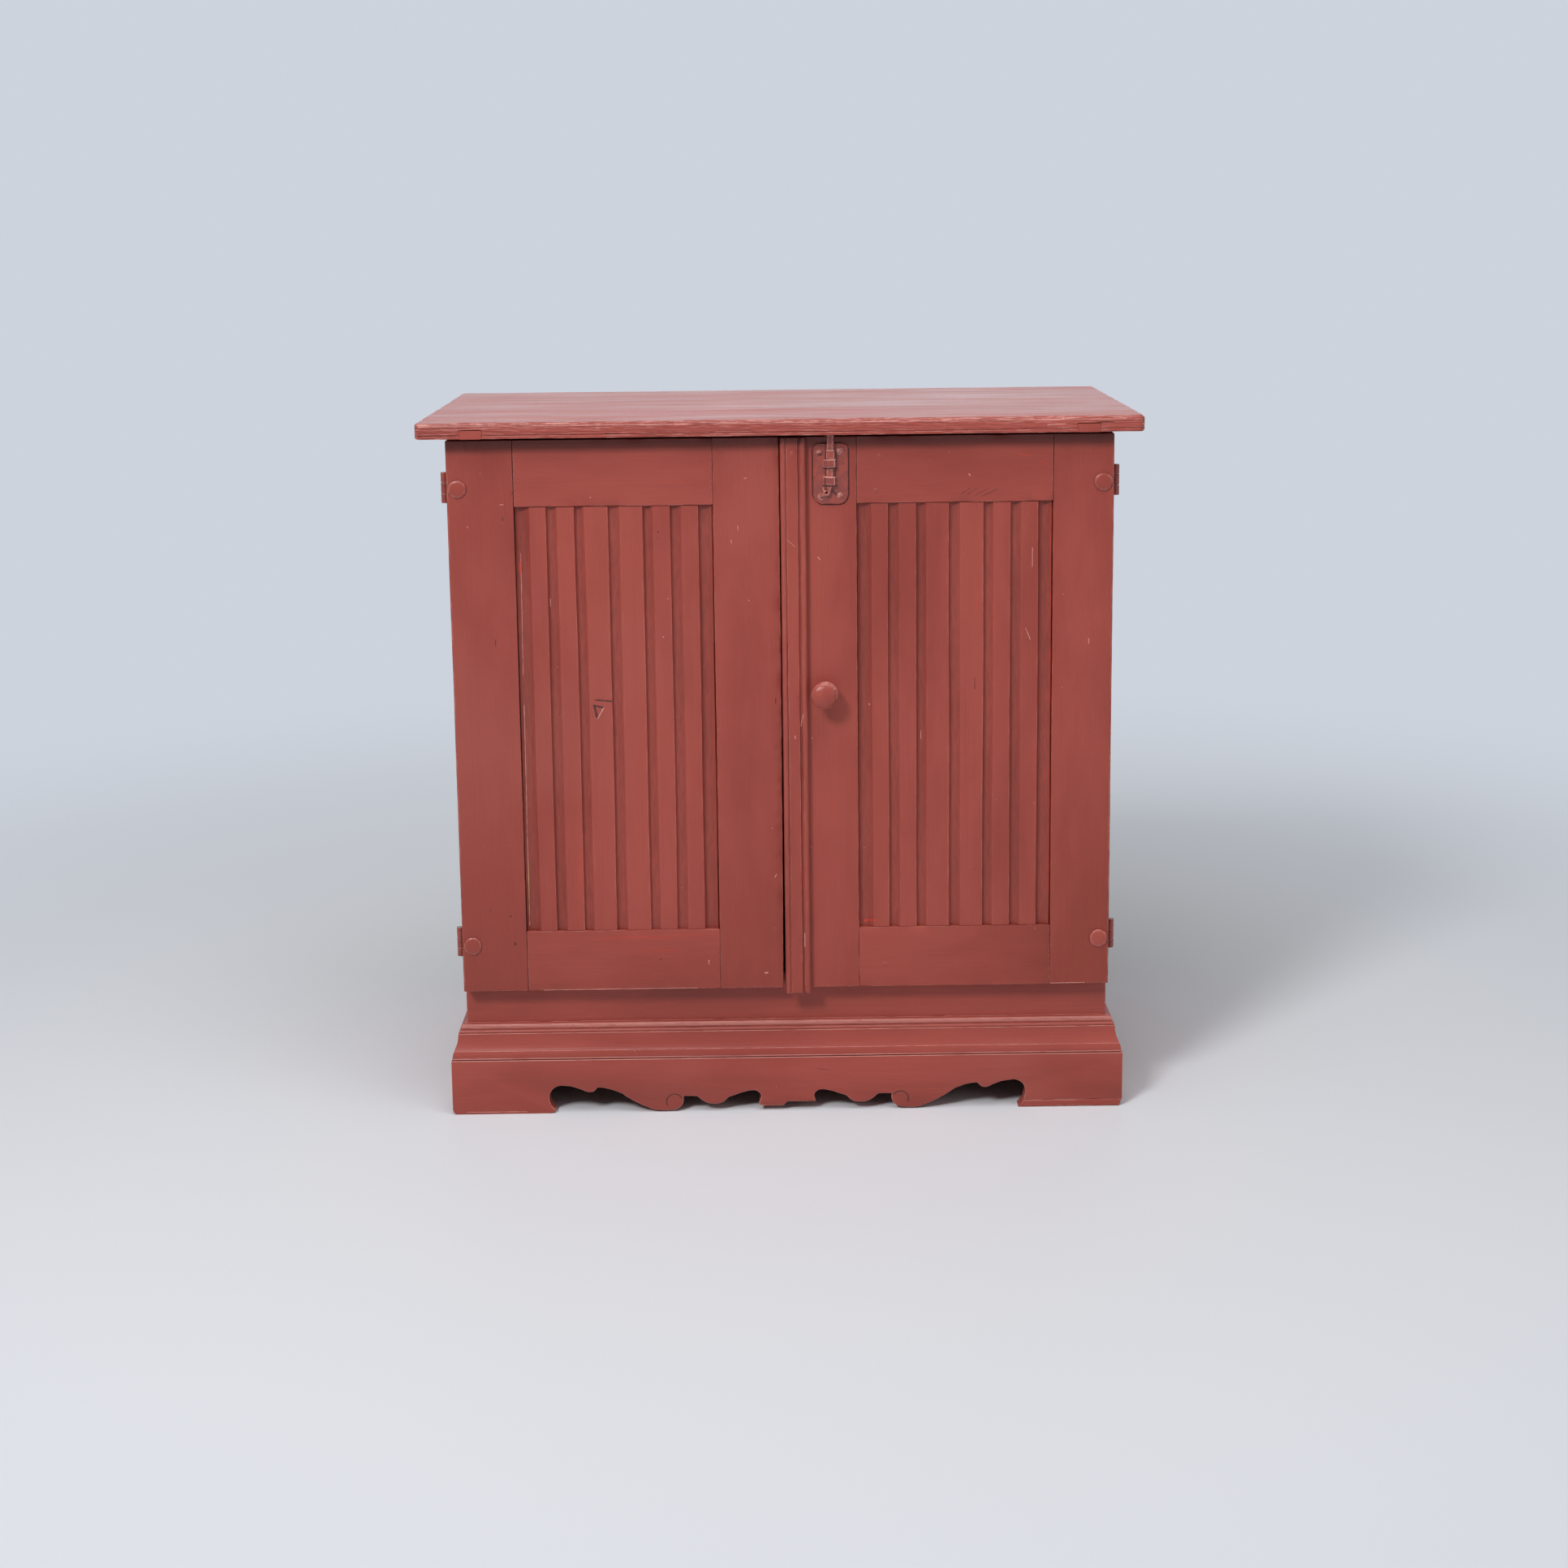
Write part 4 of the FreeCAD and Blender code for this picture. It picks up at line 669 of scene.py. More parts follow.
def material(name, make, *words, **more):
    """The material of that name, made when it is first asked for."""
    known = bpy.data.materials.get(name)
    return known or make(Web(bpy.data.materials.new(name)), *words, **more)


def upright_paint():
    return material("paint_upright", paint, 2)


def level_paint():
    return material("paint_level", paint, 0)


def depth_paint():
    return material("paint_depth", paint, 1, wear=0.5)


def knob_paint():
    return material("paint_knob", paint, 2, wear=0.85, streak=0.2, depth=0.08, gloss=(0.24, 0.4),
                    spread=(0.42, 0.56), grit=380)


def iron_paint():
    return material("paint_iron", iron)


def iron_bare():
    return material("rusty_iron", rust)


def wood_of(axis, start=0):
    return material("wood_along_%s_%d" % ("xyz"[axis], start), bare_wood, axis, start)


def panel_paint(body):
    """The panels' paint with their own marks, in millimetres across and up from the floor."""
    if body == "left_door":
        marks = (
            ("bare", (-339.5, 262), (-339.0, 350), 0.7),
            ("worn", (-339.2, 350), (-338.0, 560), 0.45),
            ("worn", (-338.0, 600), (-336.5, 760), 0.4),
            ("bright", (-337.5, 736), (-337.2, 748), 1.6),
            ("dark", (-244, 566.5), (-224.5, 564.5), 1.6),
            ("dark", (-246.5, 559), (-242.5, 543), 2.0),
            ("dark", (-246.5, 559), (-235, 556.5), 1.8), ("worn", (-234, 556), (-242, 542), 0.8),
            ("dark", (-158.3, 787), (-158.0, 786), 1.6), ("worn", (-300, 690), (-299.6, 700), 0.5),
            ("worn", (-154.2, 649.2), (-154.0, 648.6), 0.9),
            ("worn", (-147.5, 699.6), (-147.3, 699.0), 0.7),
            ("dark", (-158.1, 779), (-157.6, 778), 0.7),
        )
    else:
        marks = (
            ("bright", (349.0, 812), (349.2, 640), 1.5),
            ("bright", (349.2, 640), (349.5, 300), 1.2), ("worn", (324.3, 760), (324.2, 735), 0.5),
            ("bright", (106, 262), (118, 264), 2.2), ("worn", (316, 655), (322, 640), 0.7),
            ("dark", (250, 590), (250.3, 575), 0.5), ("worn", (180, 520), (180.2, 508), 0.5),
            ("worn", (112.6, 556.1), (112.9, 555.5), 0.9),
        )
    return material("paint_" + body + "_panel", paint, 2, wear=0.25, marks=marks, low=True)


def frame_paint(level):
    """The door frames' paint with knocks, scratches and old nail holes on their faces, dark open
    joints between the rails and stiles, painted shade under the top board and round the bolt's
    plate, and thin pale lines of painted light along the doors' lower edges."""
    # Painted shade under the top board
    marks = [("painted_shade", (-429, 914), (429, 914), 28)]
    for x, upper, lower in ((-343.2, 0.75, 0.55), (-87.3, 0.4, 0.25), (97.7, 0.35, 0.25),
                            (350.7, 0.55, 0.3)):
        marks += [("joint_and_shade", (x, 820), (x, 908), upper), ("joint_and_shade", (x, 172), (x, 256), lower)]
    if level:
        marks += [
            ("dark", (-167.6, 213.8), (-165.5, 213.9), 0.7),
            ("worn", (-102.3, 211.8), (-102.6, 206.4), 0.7),
            ("bright", (303.8, 882.6), (320.8, 879.2), 0.9),
            ("bright", (331.4, 873.5), (341.8, 869.4), 0.8),
            ("worn", (242.1, 856.7), (243.2, 855.5), 1.1),
            ("dark", (232.4, 831.3), (243.5, 838.5), 0.4),
            ("dark", (240.4, 830.3), (252.6, 838.5), 0.4),
            ("dark", (257.9, 827.7), (279.1, 837.1), 0.4),
            ("dark", (250.0, 829.0), (266.1, 837.8), 0.35),
            ("worn", (-244.6, 832.6), (-243.8, 831.8), 0.9),
            # The first mark on the next line is a pale line of painted light along the gap under
            # the left door's bottom rail
            ("worn", (-322, 173.9), (-118, 174.0), 0.5), ("dark", (-301, 822), (-296, 822.4), 0.5),
            ("worn", (215.9, 885.5), (216.6, 885.3), 0.7),
        ]
        return material("paint_frame_level", paint, 0, marks=marks, low=True)
    marks += [
        ("dark", (-358.8, 237.2), (-358.6, 239.0), 1.5),
        ("dark", (-363.5, 275.3), (-363.4, 276.5), 1.2),
        ("dark", (-390.0, 284.4), (-389.6, 284.6), 1.0),
        ("worn", (-27.5, 193.6), (-24.8, 193.8), 1.4), ("worn", (47.0, 751.4), (50.2, 748.2), 0.6),
        ("dark", (-9.4, 566.0), (-9.3, 559.5), 0.9), ("worn", (-13.5, 325), (-11, 329), 0.7),
        ("dark", (-372, 640), (-371.7, 648), 0.6), ("bright", (64, 430), (64.6, 398), 0.6),
        ("worn", (398, 640), (398.3, 634), 0.6), ("worn", (-403.4, 796.4), (-403.1, 795.4), 0.9),
        ("dark", (-357.9, 807.4), (-357.7, 803.6), 1.0),
        ("worn", (-360.6, 824.4), (-356.6, 824.6), 0.7),
        ("worn", (-385.0, 865.0), (-384.8, 864.3), 0.8),
        ("worn", (-55.8, 793.0), (-55.5, 787.0), 0.5),
        ("worn", (-47.0, 854.4), (-43.6, 855.4), 0.6),
        ("worn", (-64.4, 775.0), (-64.2, 771.0), 0.5),
        ("bright", (-85.0, 625.8), (-82.0, 625.6), 1.0),
        # The second mark on the next line is a pale line of painted light along the gap under the
        # right door's lower edge
        ("worn", (-42.6, 696.2), (-42.3, 695.6), 0.6), ("worn", (352, 174.2), (397, 174.4), 0.55),
        ("worn", (37.4, 513.0), (38.2, 512.6), 0.9), ("dark", (-344.4, 840), (-344.2, 838.5), 1.2),
        ("joint_and_shade", (-343.4, 256), (-343.4, 820), 0.3),
        # Shade round the bolt's plate
        ("joint_and_shade", (41.0, 832), (41.0, 890), 0.9), ("joint_and_shade", (87.7, 831), (87.7, 891), 1.0),
        ("joint_and_shade", (51, 819.9), (78, 819.9), 1.0), ("joint_and_shade", (51, 899.0), (78, 899.0), 0.7),
        ("joint_and_shade", (41.5, 830), (50, 820.6), 0.9), ("joint_and_shade", (87.2, 829), (80, 820.6), 0.9),
    ]
    return material("paint_frame_upright", paint, 2, marks=marks, low=True)


def strip_paint():
    """The cover strip's paint, with painted shade under the top board and its own marks."""
    marks = (
        # Painted shade under the top board
        ("painted_shade", (-5, 914), (40, 914), 24), ("worn", (8.0, 775.4), (17.5, 766.7), 0.45),
        ("worn", (22.8, 530), (26.0, 546), 0.7), ("worn", (15.1, 517), (15.3, 514), 0.8),
        ("dark", (18.2, 157.7), (18.4, 156.5), 1.4), ("dark", (6.6, 640), (6.8, 600), 0.35),
        ("dark", (24.6, 520), (24.8, 430), 0.3), ("worn", (25, 250), (25.2, 232), 0.6),
    )
    return material("paint_strip", paint, 2, wear=0.4, streak=0.35, marks=marks, low=True)


def moulding_paint():
    """The moulding's paint, with painted shade along its foot and near its top, a rubbed spot, and
    a painted highlight along the cyma's lower shoulder.
    """
    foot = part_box("plinth_front")[1][2] / MM
    marks = (
        # Painted shade where it meets the plinth and near its top
        ("joint_and_shade", (-446, foot + 0.4), (446, foot + 0.4), 0.9),
        ("painted_shade", (-446, foot + 39), (446, foot + 39), 1.8),
        ("worn", (-428, 107.5), (-426.5, 104), 1.2),
        # A painted highlight along the cyma's lower shoulder
        ("worn", (-446, foot + 12), (446, foot + 12), 0.25),
    )
    return material("paint_moulding", paint, 0, wear=0.75, marks=marks, gloss=(0.26, 0.46),
                    spread=(0.22, 0.5))


def apron_paint():
    """The apron's paint, with its two cut curls and a few marks."""
    marks = (
        # The two cut curls are dark lines with a bump: dirt and painted shade of the cut
        ("ring", (-151.7, 14.2), (10.7, 20, 215), 1.1),
        ("ring", (151.7, 14.2), (10.7, -30, 152), 1.1), ("worn", (-432, 3.5), (-350, 3.0), 0.5),
        ("worn", (-37, 8), (-30, 7.6), 0.7), ("dark", (-305, 45), (-304, 45), 0.7),
        ("dark", (40, 58), (58, 56), 0.35),
    )
    return material("paint_apron", paint, 0, wear=0.75, marks=marks, gloss=(0.36, 0.52),
                    spread=(0.26, 0.5))


def top_paint():
    """The top's paint, with the slits round the cleats' ends and knocks on its front edge."""
    marks = []
    for side in ("left", "right"):
        low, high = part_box("top_cleat_" + side)
        middle, foot = (low[0] + high[0]) / 2 / MM, low[2] / MM
        level = foot + 12.0
        marks += [
            ("joint_and_shade", (middle - 15.4, level), (middle + 15.4, level), 1.4),
            ("joint_and_shade", (middle - 15.2, level), (middle - 13.6, foot + 1.0), 0.9),
            ("joint_and_shade", (middle + 15.2, level), (middle + 13.6, foot + 1.0), 0.9),
            ("worn", (middle - 17, foot + 14.0), (middle + 17, foot + 14.0), 0.5),
        ]
    marks += [
        ("dark", (404, 923.5), (424, 924.0), 0.8), ("dark", (-222, 916.6), (-205, 916.2), 0.6),
        ("worn", (-233, 924), (-229, 923.6), 1.0), ("worn", (340, 921), (362, 921.6), 0.8),
        ("worn", (-440, 927.6), (440, 927.6), 0.5), ("dark", (-80, 919.0), (-34, 918.6), 0.45),
    ]
    return material("paint_top", paint, 0, wear=0.8, streak=0.65, depth=0.3, marks=marks,
                    gloss=(0.28, 0.52), spread=(0.48, 0.62), grit=620)


def bolt_paint():
    """Painted shade beside and under the bolt and its straps, painted shadows of two nails and the
    curl, and painted highlights along the tops of the straps and the shoulder and on the curl.
    """
    marks = (
        ("joint_and_shade", (57.6, 846), (58.2, 898), 1.0), ("joint_and_shade", (70.8, 846), (71.4, 898), 1.2),
        ("joint_and_shade", (55.5, 866.6), (72.5, 866.6), 1.1), ("joint_and_shade", (55.0, 844.2), (72.0, 844.2), 1.2),
        ("worn", (56.2, 878.2), (70.8, 878.4), 0.9), ("worn", (55.9, 856.0), (70.2, 855.6), 1.1),
        ("worn", (60.2, 890.3), (67.5, 890.3), 0.7), ("worn", (54.6, 841.5), (55.6, 837.5), 1.3),
        ("painted_shade", (49.8, 885.0), (51.5, 884.6), 2.2), ("painted_shade", (52.4, 829.0), (54.0, 828.8), 2.2),
        ("painted_shade", (66.0, 838.0), (71.0, 833.0), 2.6),
    )
    return material("paint_bolt", iron, marks)


# Settings


def tint(name, text, red, green, blue):
    return FloatVectorProperty(name=name, description=text, subtype="COLOR", size=3, min=0, max=1,
                               default=colour(red, green, blue)[:3])


class CUPBOARD_PG_paint(bpy.types.PropertyGroup):
    """Colours of the paint, the wood and the stage."""

    base: tint("Base", "Usual colour of the paint", 162, 72, 60)
    dark: tint("Dark", "Paint in the darker blotches and streaks", 145, 60, 49)
    dusty: tint("Dusty", "Paint where it has faded", 165, 82, 71)
    bright: tint("Bright", "Fresher red where the paint is rubbed", 192, 62, 44)
    # Also painted highlights on the ironwork and the moulding, and pale painted light in the gaps
    # under the doors
    worn: tint("Worn", "Pale rubbed arrises and chips", 214, 150, 140)
    # Also painted shade: in inner corners, under the top board and round the ironwork
    dirt_or_shade: tint("Dirt", "Dark dirt in inner corners", 70, 34, 30)
    iron: tint("Iron", "Paint on the ironwork, in its hollows", 138, 66, 58)
    bare_iron: tint("Bare iron", "Iron where the paint has come off", 92, 58, 54)
    rust: tint("Rust", "Rust on bare iron", 112, 66, 44)
    wood: tint("Wood", "Unpainted pine", 190, 150, 108)
    wood_dark: tint("Wood bands", "Darker growth bands of the pine", 150, 106, 68)
    wood_grey: tint("Wood dirt", "Old dirt on the pine", 118, 98, 80)
    floor: tint("Floor", "Floor of the stage", 226, 229, 234)
    backdrop: tint("Backdrop", "Background behind the floor", 205, 211, 221)


class CUPBOARD_PG_shape(bpy.types.PropertyGroup):
    """Sizes of the wear on the boards."""

    wave: FloatProperty(name="Wave", description="Unevenness of planed faces, in millimetres",
                        default=0.3, min=0, max=1)
    chip: FloatProperty(name="Chips", description="Depth of knocks on the arrises, times the usual",
                        default=1.0, min=0, max=2)
    seed: IntProperty(name="Seed", description="Start of the uneven patterns", default=20, min=0)


def shape():
    """The settings of the wear on the boards."""
    return bpy.context.scene.cupboard_shape


def boards(name, axis, radius, seed, finish):
    """A plank of the case that fills a CAD node's box and stands for it."""
    part = plank(*box(name), axis, radius, shape().seed + seed, shape().wave)
    piece(name, [part], finish, "case")


# Operators


class CUPBOARD_OT_stage(bpy.types.Operator):
    """Makes the floor, the soft lights and the camera"""

    bl_idname = "cupboard.stage"
    bl_label = "Stage"

    # Name, place, aim, width in metres and power in watts
    LAMPS = (
        ("key", (-2.3, -3.8, 3.9), (0.0, -0.2, 0.4), 1.3, 163),
        ("above", (0.2, -1.5, 4.2), (0.0, -0.3, 0.5), 3.0, 75),
        ("fill", (3.4, -2.6, 1.7), (0.0, 0.0, 0.4), 2.6, 19),
        ("behind", (0.1, 3.8, 2.3), (0.0, 0.2, 0.6), 3.4, 21),
    )

    def execute(self, context):
        self.floor()
        self.world(context)
        for lamp in self.LAMPS:
            self.lamp(*lamp)
        self.camera(context)
        return {"FINISHED"}

    def floor(self):
        """A wide flat disc whose far part is seen as the backdrop."""
        angle = np.linspace(0, 2 * np.pi, 64, endpoint=False)
        radius = np.array([0.6, 1.5, 4, 12, 40])[:, None]
        rings = np.stack([radius * np.cos(angle), radius * np.sin(angle), 0 * radius * angle], -1)
        index = np.arange(rings[..., 0].size).reshape(rings.shape[:2])
        here, there = index[:-1], index[1:]
        quads = np.stack([here, there, np.roll(there, -1, 1), np.roll(here, -1, 1)], -1)
        faces = quads.reshape(-1, 4).tolist() + [index[0].tolist()]
        mesh = bpy.data.meshes.new("floor")
        mesh.from_pydata(rings.reshape(-1, 3).tolist(), [], faces)
        web = Web(bpy.data.materials.new("floor"))
        web.finish(tone("floor"), 0.75, web.bump(web.noise((90, 90, 90)), 0.1 * MM), 0.2)
        far = web.span(web.vector("LENGTH", web.place), 0.65, 2.8)
        glow = web.add("Emission", tone("backdrop"), 1.0)
        plain = web.end.links[0].from_socket
        blend = web.add("MixShader", web.times(far, web.seen()), plain, glow.outputs[0])
        web.put(web.end, blend.outputs[0])
        mesh.materials.append(web.owner)
        obj = bpy.data.objects.new("floor", mesh)
        bpy.context.collection.objects.link(obj)

    def world(self, context):
        """The backdrop's colour where it is seen, and a weak even light elsewhere."""
        context.scene.world = bpy.data.worlds.new("soft_room")
        web = Web(context.scene.world)
        seen = web.add("Background", tone("backdrop"), 1.0)
        weak = web.add("Background", (0.96, 0.98, 1.0, 1), 0.13)
        blend = web.add("MixShader", web.seen(), weak.outputs[0], seen.outputs[0])
        web.put(web.end, blend.outputs[0])

    def lamp(self, name, place, aim, size, power):
        """A round soft lamp at place, turned towards aim."""
        data = bpy.data.lights.new(name, "AREA")
        data.shape = "DISK"
        data.size = size
        data.energy = power
        obj = bpy.data.objects.new(name, data)
        turn = (Vector(place) - Vector(aim)).to_track_quat("Z", "Y")
        obj.matrix_world = Matrix.Translation(place) @ turn.to_matrix().to_4x4()
        bpy.context.collection.objects.link(obj)

    def camera(self, context):
        """The camera's axes from its turn to the side, its dip and its tilt, in radians."""
        yaw, pitch, roll = -0.00639, 0.1712, -0.01149
        ahead = np.array([-math.sin(yaw), math.cos(yaw), 0])
        right = np.array([math.cos(yaw), math.sin(yaw), 0])
        up = np.array([0, 0, 1.0])
        view = math.cos(pitch) * ahead - math.sin(pitch) * up
        top = math.sin(pitch) * ahead + math.cos(pitch) * up
        matrix = np.eye(4)
        matrix[:3, 0] = math.cos(roll) * right + math.sin(roll) * top
        matrix[:3, 1] = -math.sin(roll) * right + math.cos(roll) * top
        matrix[:3, 2] = -view
        matrix[:3, 3] = (-0.01684, -3.25, 1.2012)
        data = bpy.data.cameras.new("camera")
        data.lens = 54.56
        data.sensor_width = 36
        data.shift_y = -0.108
        data.clip_end = 100
        obj = bpy.data.objects.new("camera", data)
        obj.matrix_world = Matrix(matrix.tolist())
        context.collection.objects.link(obj)
        context.scene.camera = obj


class CUPBOARD_OT_finishes(bpy.types.Operator):
    """Gives every CAD node a finish chosen by a word in its name"""

    bl_idname = "cupboard.finishes"
    bl_label = "Finishes"

    # The first word that is in a node's name says its finish, and the rest have upright paint
    FINISHES = (
        ("bearer", lambda: wood_of(1)), ("pegs", lambda: wood_of(1)),
        ("glue_block", lambda: wood_of(2)), ("back_board", lambda: wood_of(2)),
        ("bottom_board", lambda: wood_of(0)), ("shelf", lambda: wood_of(0)), ("hinge", iron_paint),
        ("bolt", iron_paint), ("rail", level_paint), ("top_board", level_paint),
        ("plinth_front", level_paint), ("moulding_front", level_paint), ("foot_shoe", level_paint),
        ("plinth_side", depth_paint), ("cleat", depth_paint), ("moulding", depth_paint),
        ("", upright_paint),
    )

    def execute(self, context):
        for name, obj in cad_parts.items():
            finish = next(make for word, make in self.FINISHES if word in name)
            obj.data.materials.clear()
            obj.data.materials.append(finish())
        return {"FINISHED"}


class CUPBOARD_OT_case(bpy.types.Operator):
    """Makes the boards of the case and the nails in its back"""

    bl_idname = "cupboard.case"
    bl_label = "Case"

    BACKS = ("back_board_left", "back_board_middle", "back_board_right")
    NAIL = [(1.2, -6), (1.2, 0), (4.2, 0), (4.6, 0.5), (3.6, 1.1), (1.6, 1.5), (0.1, 1.6)]
    NAIL_WORN = [0, 0, 0, 1, 1, 0, 0]

    def execute(self, context):
        boards("front_rail", 0, 1.0, 3, level_paint())
        boards("shelf", 0, 1.4, 4, wood_of(0))
        boards("bottom_board", 0, 0.8, 5, wood_of(0))
        for number, name in enumerate(self.BACKS):
            self.back(number, name)
        for hand, name in ((-1, "side_left"), (1, "side_right")):
            self.side(hand, name)
        self.nails()
        return {"FINISHED"}

    def back(self, number, name):
        """A back board, stepped at its joints so that it laps its neighbour by half its
        thickness: the outer boards' lips lie in front of the middle one's, with a little
        room between."""
        low, high = box(name)
        lap, gap = (-3.8, 0.25) if number == 1 else (4.0, -0.25)
        left = lap * MM if number > 0 else 0
        right = lap * MM if number < 2 else 0
        step = (low[1] + high[1]) / 2 + gap * MM
        corners = [(low[0] - left, low[1]), (high[0] + right, low[1])]
        if right:
            corners += [(high[0] + right, step), (high[0], step)]
        corners += [(high[0], high[1]), (low[0], high[1])]
        if left:
            corners += [(low[0], step), (low[0] - left, step)]
        part = board(corners, 1.0, 2, low[2], high[2], shape().seed + 6 + number, shape().wave, 1.4)
        piece(name, [part], wood_of(2, number), "case")

    def side(self, hand, name):
        """The side board's outline with the front rail's notch, in two layers: the outer one
        reaches over the back boards' edges."""
        low, high = box(name)
        rail = box("front_rail")
        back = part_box("back_board_left")[0][1]
        notch = [(low[1], rail[1][2]), (rail[1][1], rail[1][2]), (rail[1][1], rail[0][2]),
                 (low[1], rail[0][2])]
        inner, outer = (low[0], high[0]) if hand > 0 else (high[0], low[0])
        step = inner + hand * 10 * MM
        parts = []
        for first, last, reach in ((inner, step, back), (step, outer, high[1])):
            outline = [(low[1], low[2]), (reach, low[2]), (reach, high[2]), (low[1], high[2])]
            radius = [1.2] * 5 + [0.3] * 2 + [1.2]
            parts.append(sheet(outline + notch, radius, 0, min(first, last), max(first, last),
                               shape().seed + 12 + hand, worn=(0.8, 0.8)))
        piece(name, parts, upright_paint(), "case")

    def nails(self):
        """Wrought nails through the back boards, two at each of the bottom board, the shelf and
        the top: a small hammered head each."""
        parts = []
        for number, name in enumerate(self.BACKS):
            low, high = box(name)
            heights = (low[2] + 0.148, (low[2] + high[2]) / 2 + 0.093, high[2] - 0.012)
            for row, height in enumerate(heights):
                for place in (0.14, 0.86):
                    x = low[0] + (high[0] - low[0]) * place + 2 * MM * (row - 1)
                    parts.append(head(self.NAIL, self.NAIL_WORN, (x, high[1] - 1.2 * MM, height),
                                      (1, -1, 1), steps=9, wobble=0.12, seed=number * 9 + row))
        piece("back_nails", parts, iron_bare(), "case", new=True)


class CUPBOARD_OT_top(bpy.types.Operator):
    """Makes the worn top board, notched over the ends of its cleats"""

    bl_idname = "cupboard.top"
    bl_label = "Top board"

    # Height of the groove along the front edge, and the low and high corner of the bolt's socket
    QUIRK = 4 * MM
    SOCKET = np.array([(58.5, -224.3), (69.5, -217.9)]) * MM
    # Close points round an edge that is cut into the board
    CLOSE = np.array([-1.2, -0.5, -0.25, 0, 0.25, 0.5, 1.2]) * MM

    def execute(self, context):
        low, high = box("top_board")
        cleats = [box("top_cleat_" + side) for side in ("left", "right")]
        outline, sharp = self.section(low, high)
        places, inset, worn = self.stops(low, high, cleats)
        rings, faces, edge = run(outline, sharp, 0, places, inset, worn, shape().seed + 7, 0.3,
                                 1.5, grain=70 * MM)
        self.ridges(rings, low)
        self.notches(rings, low, cleats)
        self.socket(rings, low)
        self.corners(rings, low, high)
        piece("top_board", [(rings, faces, edge)], top_paint(), "case")
        return {"FINISHED"}

    def section(self, low, high):
        """The board's section, deep and up, with even points up the front edge and close ones
        at the socket. From below, the front edge is a lower arris, a quirk, a face and a
        rounded upper arris."""
        y, z = low[1], low[2]
        quirk = z + self.QUIRK
        front = [(y, z), (y, quirk), (y + 1.2 * MM, quirk + 0.4 * MM), (y, quirk + 1.8 * MM),
                 (y, high[2])]
        corners = [(high[1], high[2]), (high[1], z)] + front
        radius = np.array([2, 2, 1.2, 0.4, 0.4, 0.8, 5]) * MM
        outline, sharp = filled(*eased(corners[::-1], radius[::-1], 5), 14 * MM)
        # Even points up the front edge, for the worn grain
        level = np.linspace(quirk + 3 * MM, high[2] - 6 * MM, 9)[::-1]
        slack = 0.1 * MM
        gone = ((np.abs(outline[:, 0] - y) < 1e-6) & (outline[:, 1] > level[-1] - slack)
                & (outline[:, 1] < level[0] + slack))
        spot = np.argmax(gone)
        outline, sharp = outline[~gone], sharp[~gone]
        outline = np.insert(outline, spot, np.stack([0 * level + y, level], -1), axis=0)
        sharp = np.insert(sharp, spot, 0.12 + 0.3 * (level > level[3]))
        # Close points across the underside, for the socket
        deep = np.concatenate([corner[1] + self.CLOSE for corner in self.SOCKET])
        under = np.abs(outline[:, 1] - z) < 1e-6
        keep = ~(under & (outline[:, 0] > deep[0]) & (outline[:, 0] < deep[-1]))
        outline, sharp, under = outline[keep], sharp[keep], under[keep]
        spot = np.argmax(under & (outline[:, 0] > deep[-1]))
        outline = np.insert(outline, spot, np.stack([deep, 0 * deep + z], -1), axis=0)
        return outline, np.insert(sharp, spot, 0 * deep)

    def stops(self, low, high, cleats):
        """Places along the board, closer at the notches' sides and at the socket."""
        places, inset, worn = stations(low[0], high[0], 2.6 * MM, 4.6 * MM)
        fine = [(first[0] + last[0]) / 2 + side + np.linspace(-3, 3, 21) * MM
                for first, last in cleats for side in (-14 * MM, 14 * MM)]
        fine = np.concatenate(fine + [corner[0] + self.CLOSE for corner in self.SOCKET])
        order = np.argsort(np.concatenate([places, fine]))
        return (np.concatenate([places, fine])[order], np.concatenate([inset, 0 * fine])[order],
                np.concatenate([worn, 0 * fine])[order])

    def ridges(self, rings, low):
        """Ridges of worn grain along the front face: the face sinks between them."""
        coarse = ripple(rings, (60 * MM, 1, 3.2 * MM), 77)
        ridge = coarse + 0.6 * ripple(rings, (16 * MM, 1, 1.8 * MM), 78)
        front = rings[..., 1] < low[1] + 6 * MM
        above = rings[..., 2] > low[2] + self.QUIRK + 2 * MM
        rings[..., 1] += 0.45 * MM * np.clip(ridge, 0, 1.5) * front * above

    def notches(self, rings, low, cleats):
        """Notches over the cleats' dovetails, at the front edge: wider above than below."""
        up = (rings[..., 2] - low[2]) / (11.6 * MM)
        wide = (13.2 + 2.0 * np.clip(up, 0, 1)) * MM
        for first, last in cleats:
            aside = np.abs(rings[..., 0] - (first[0] + last[0]) / 2)
            inside = np.clip((wide - aside) / (0.5 * MM), 0, 1)
            inside *= np.clip((1.02 - up) / 0.03, 0, 1) * (rings[..., 1] < first[1] + 12 * MM)
            rings[..., 1] += inside * 5 * MM

    def socket(self, rings, low):
        """The socket that the bolt rises into, 7.5 mm deep in the underside."""
        middle, half = self.SOCKET.sum(0) / 2, (self.SOCKET[1] - self.SOCKET[0]) / 2
        aside, along_y = (np.abs(rings[..., i] - middle[i]) for i in (0, 1))
        sunk = np.clip((half[0] - aside) / (0.5 * MM) + 0.5, 0, 1)
        sunk *= np.clip((half[1] - along_y) / (0.5 * MM) + 0.5, 0, 1)
        rings[..., 2] += sunk * (rings[..., 2] < low[2] + 2 * MM) * 7.5 * MM

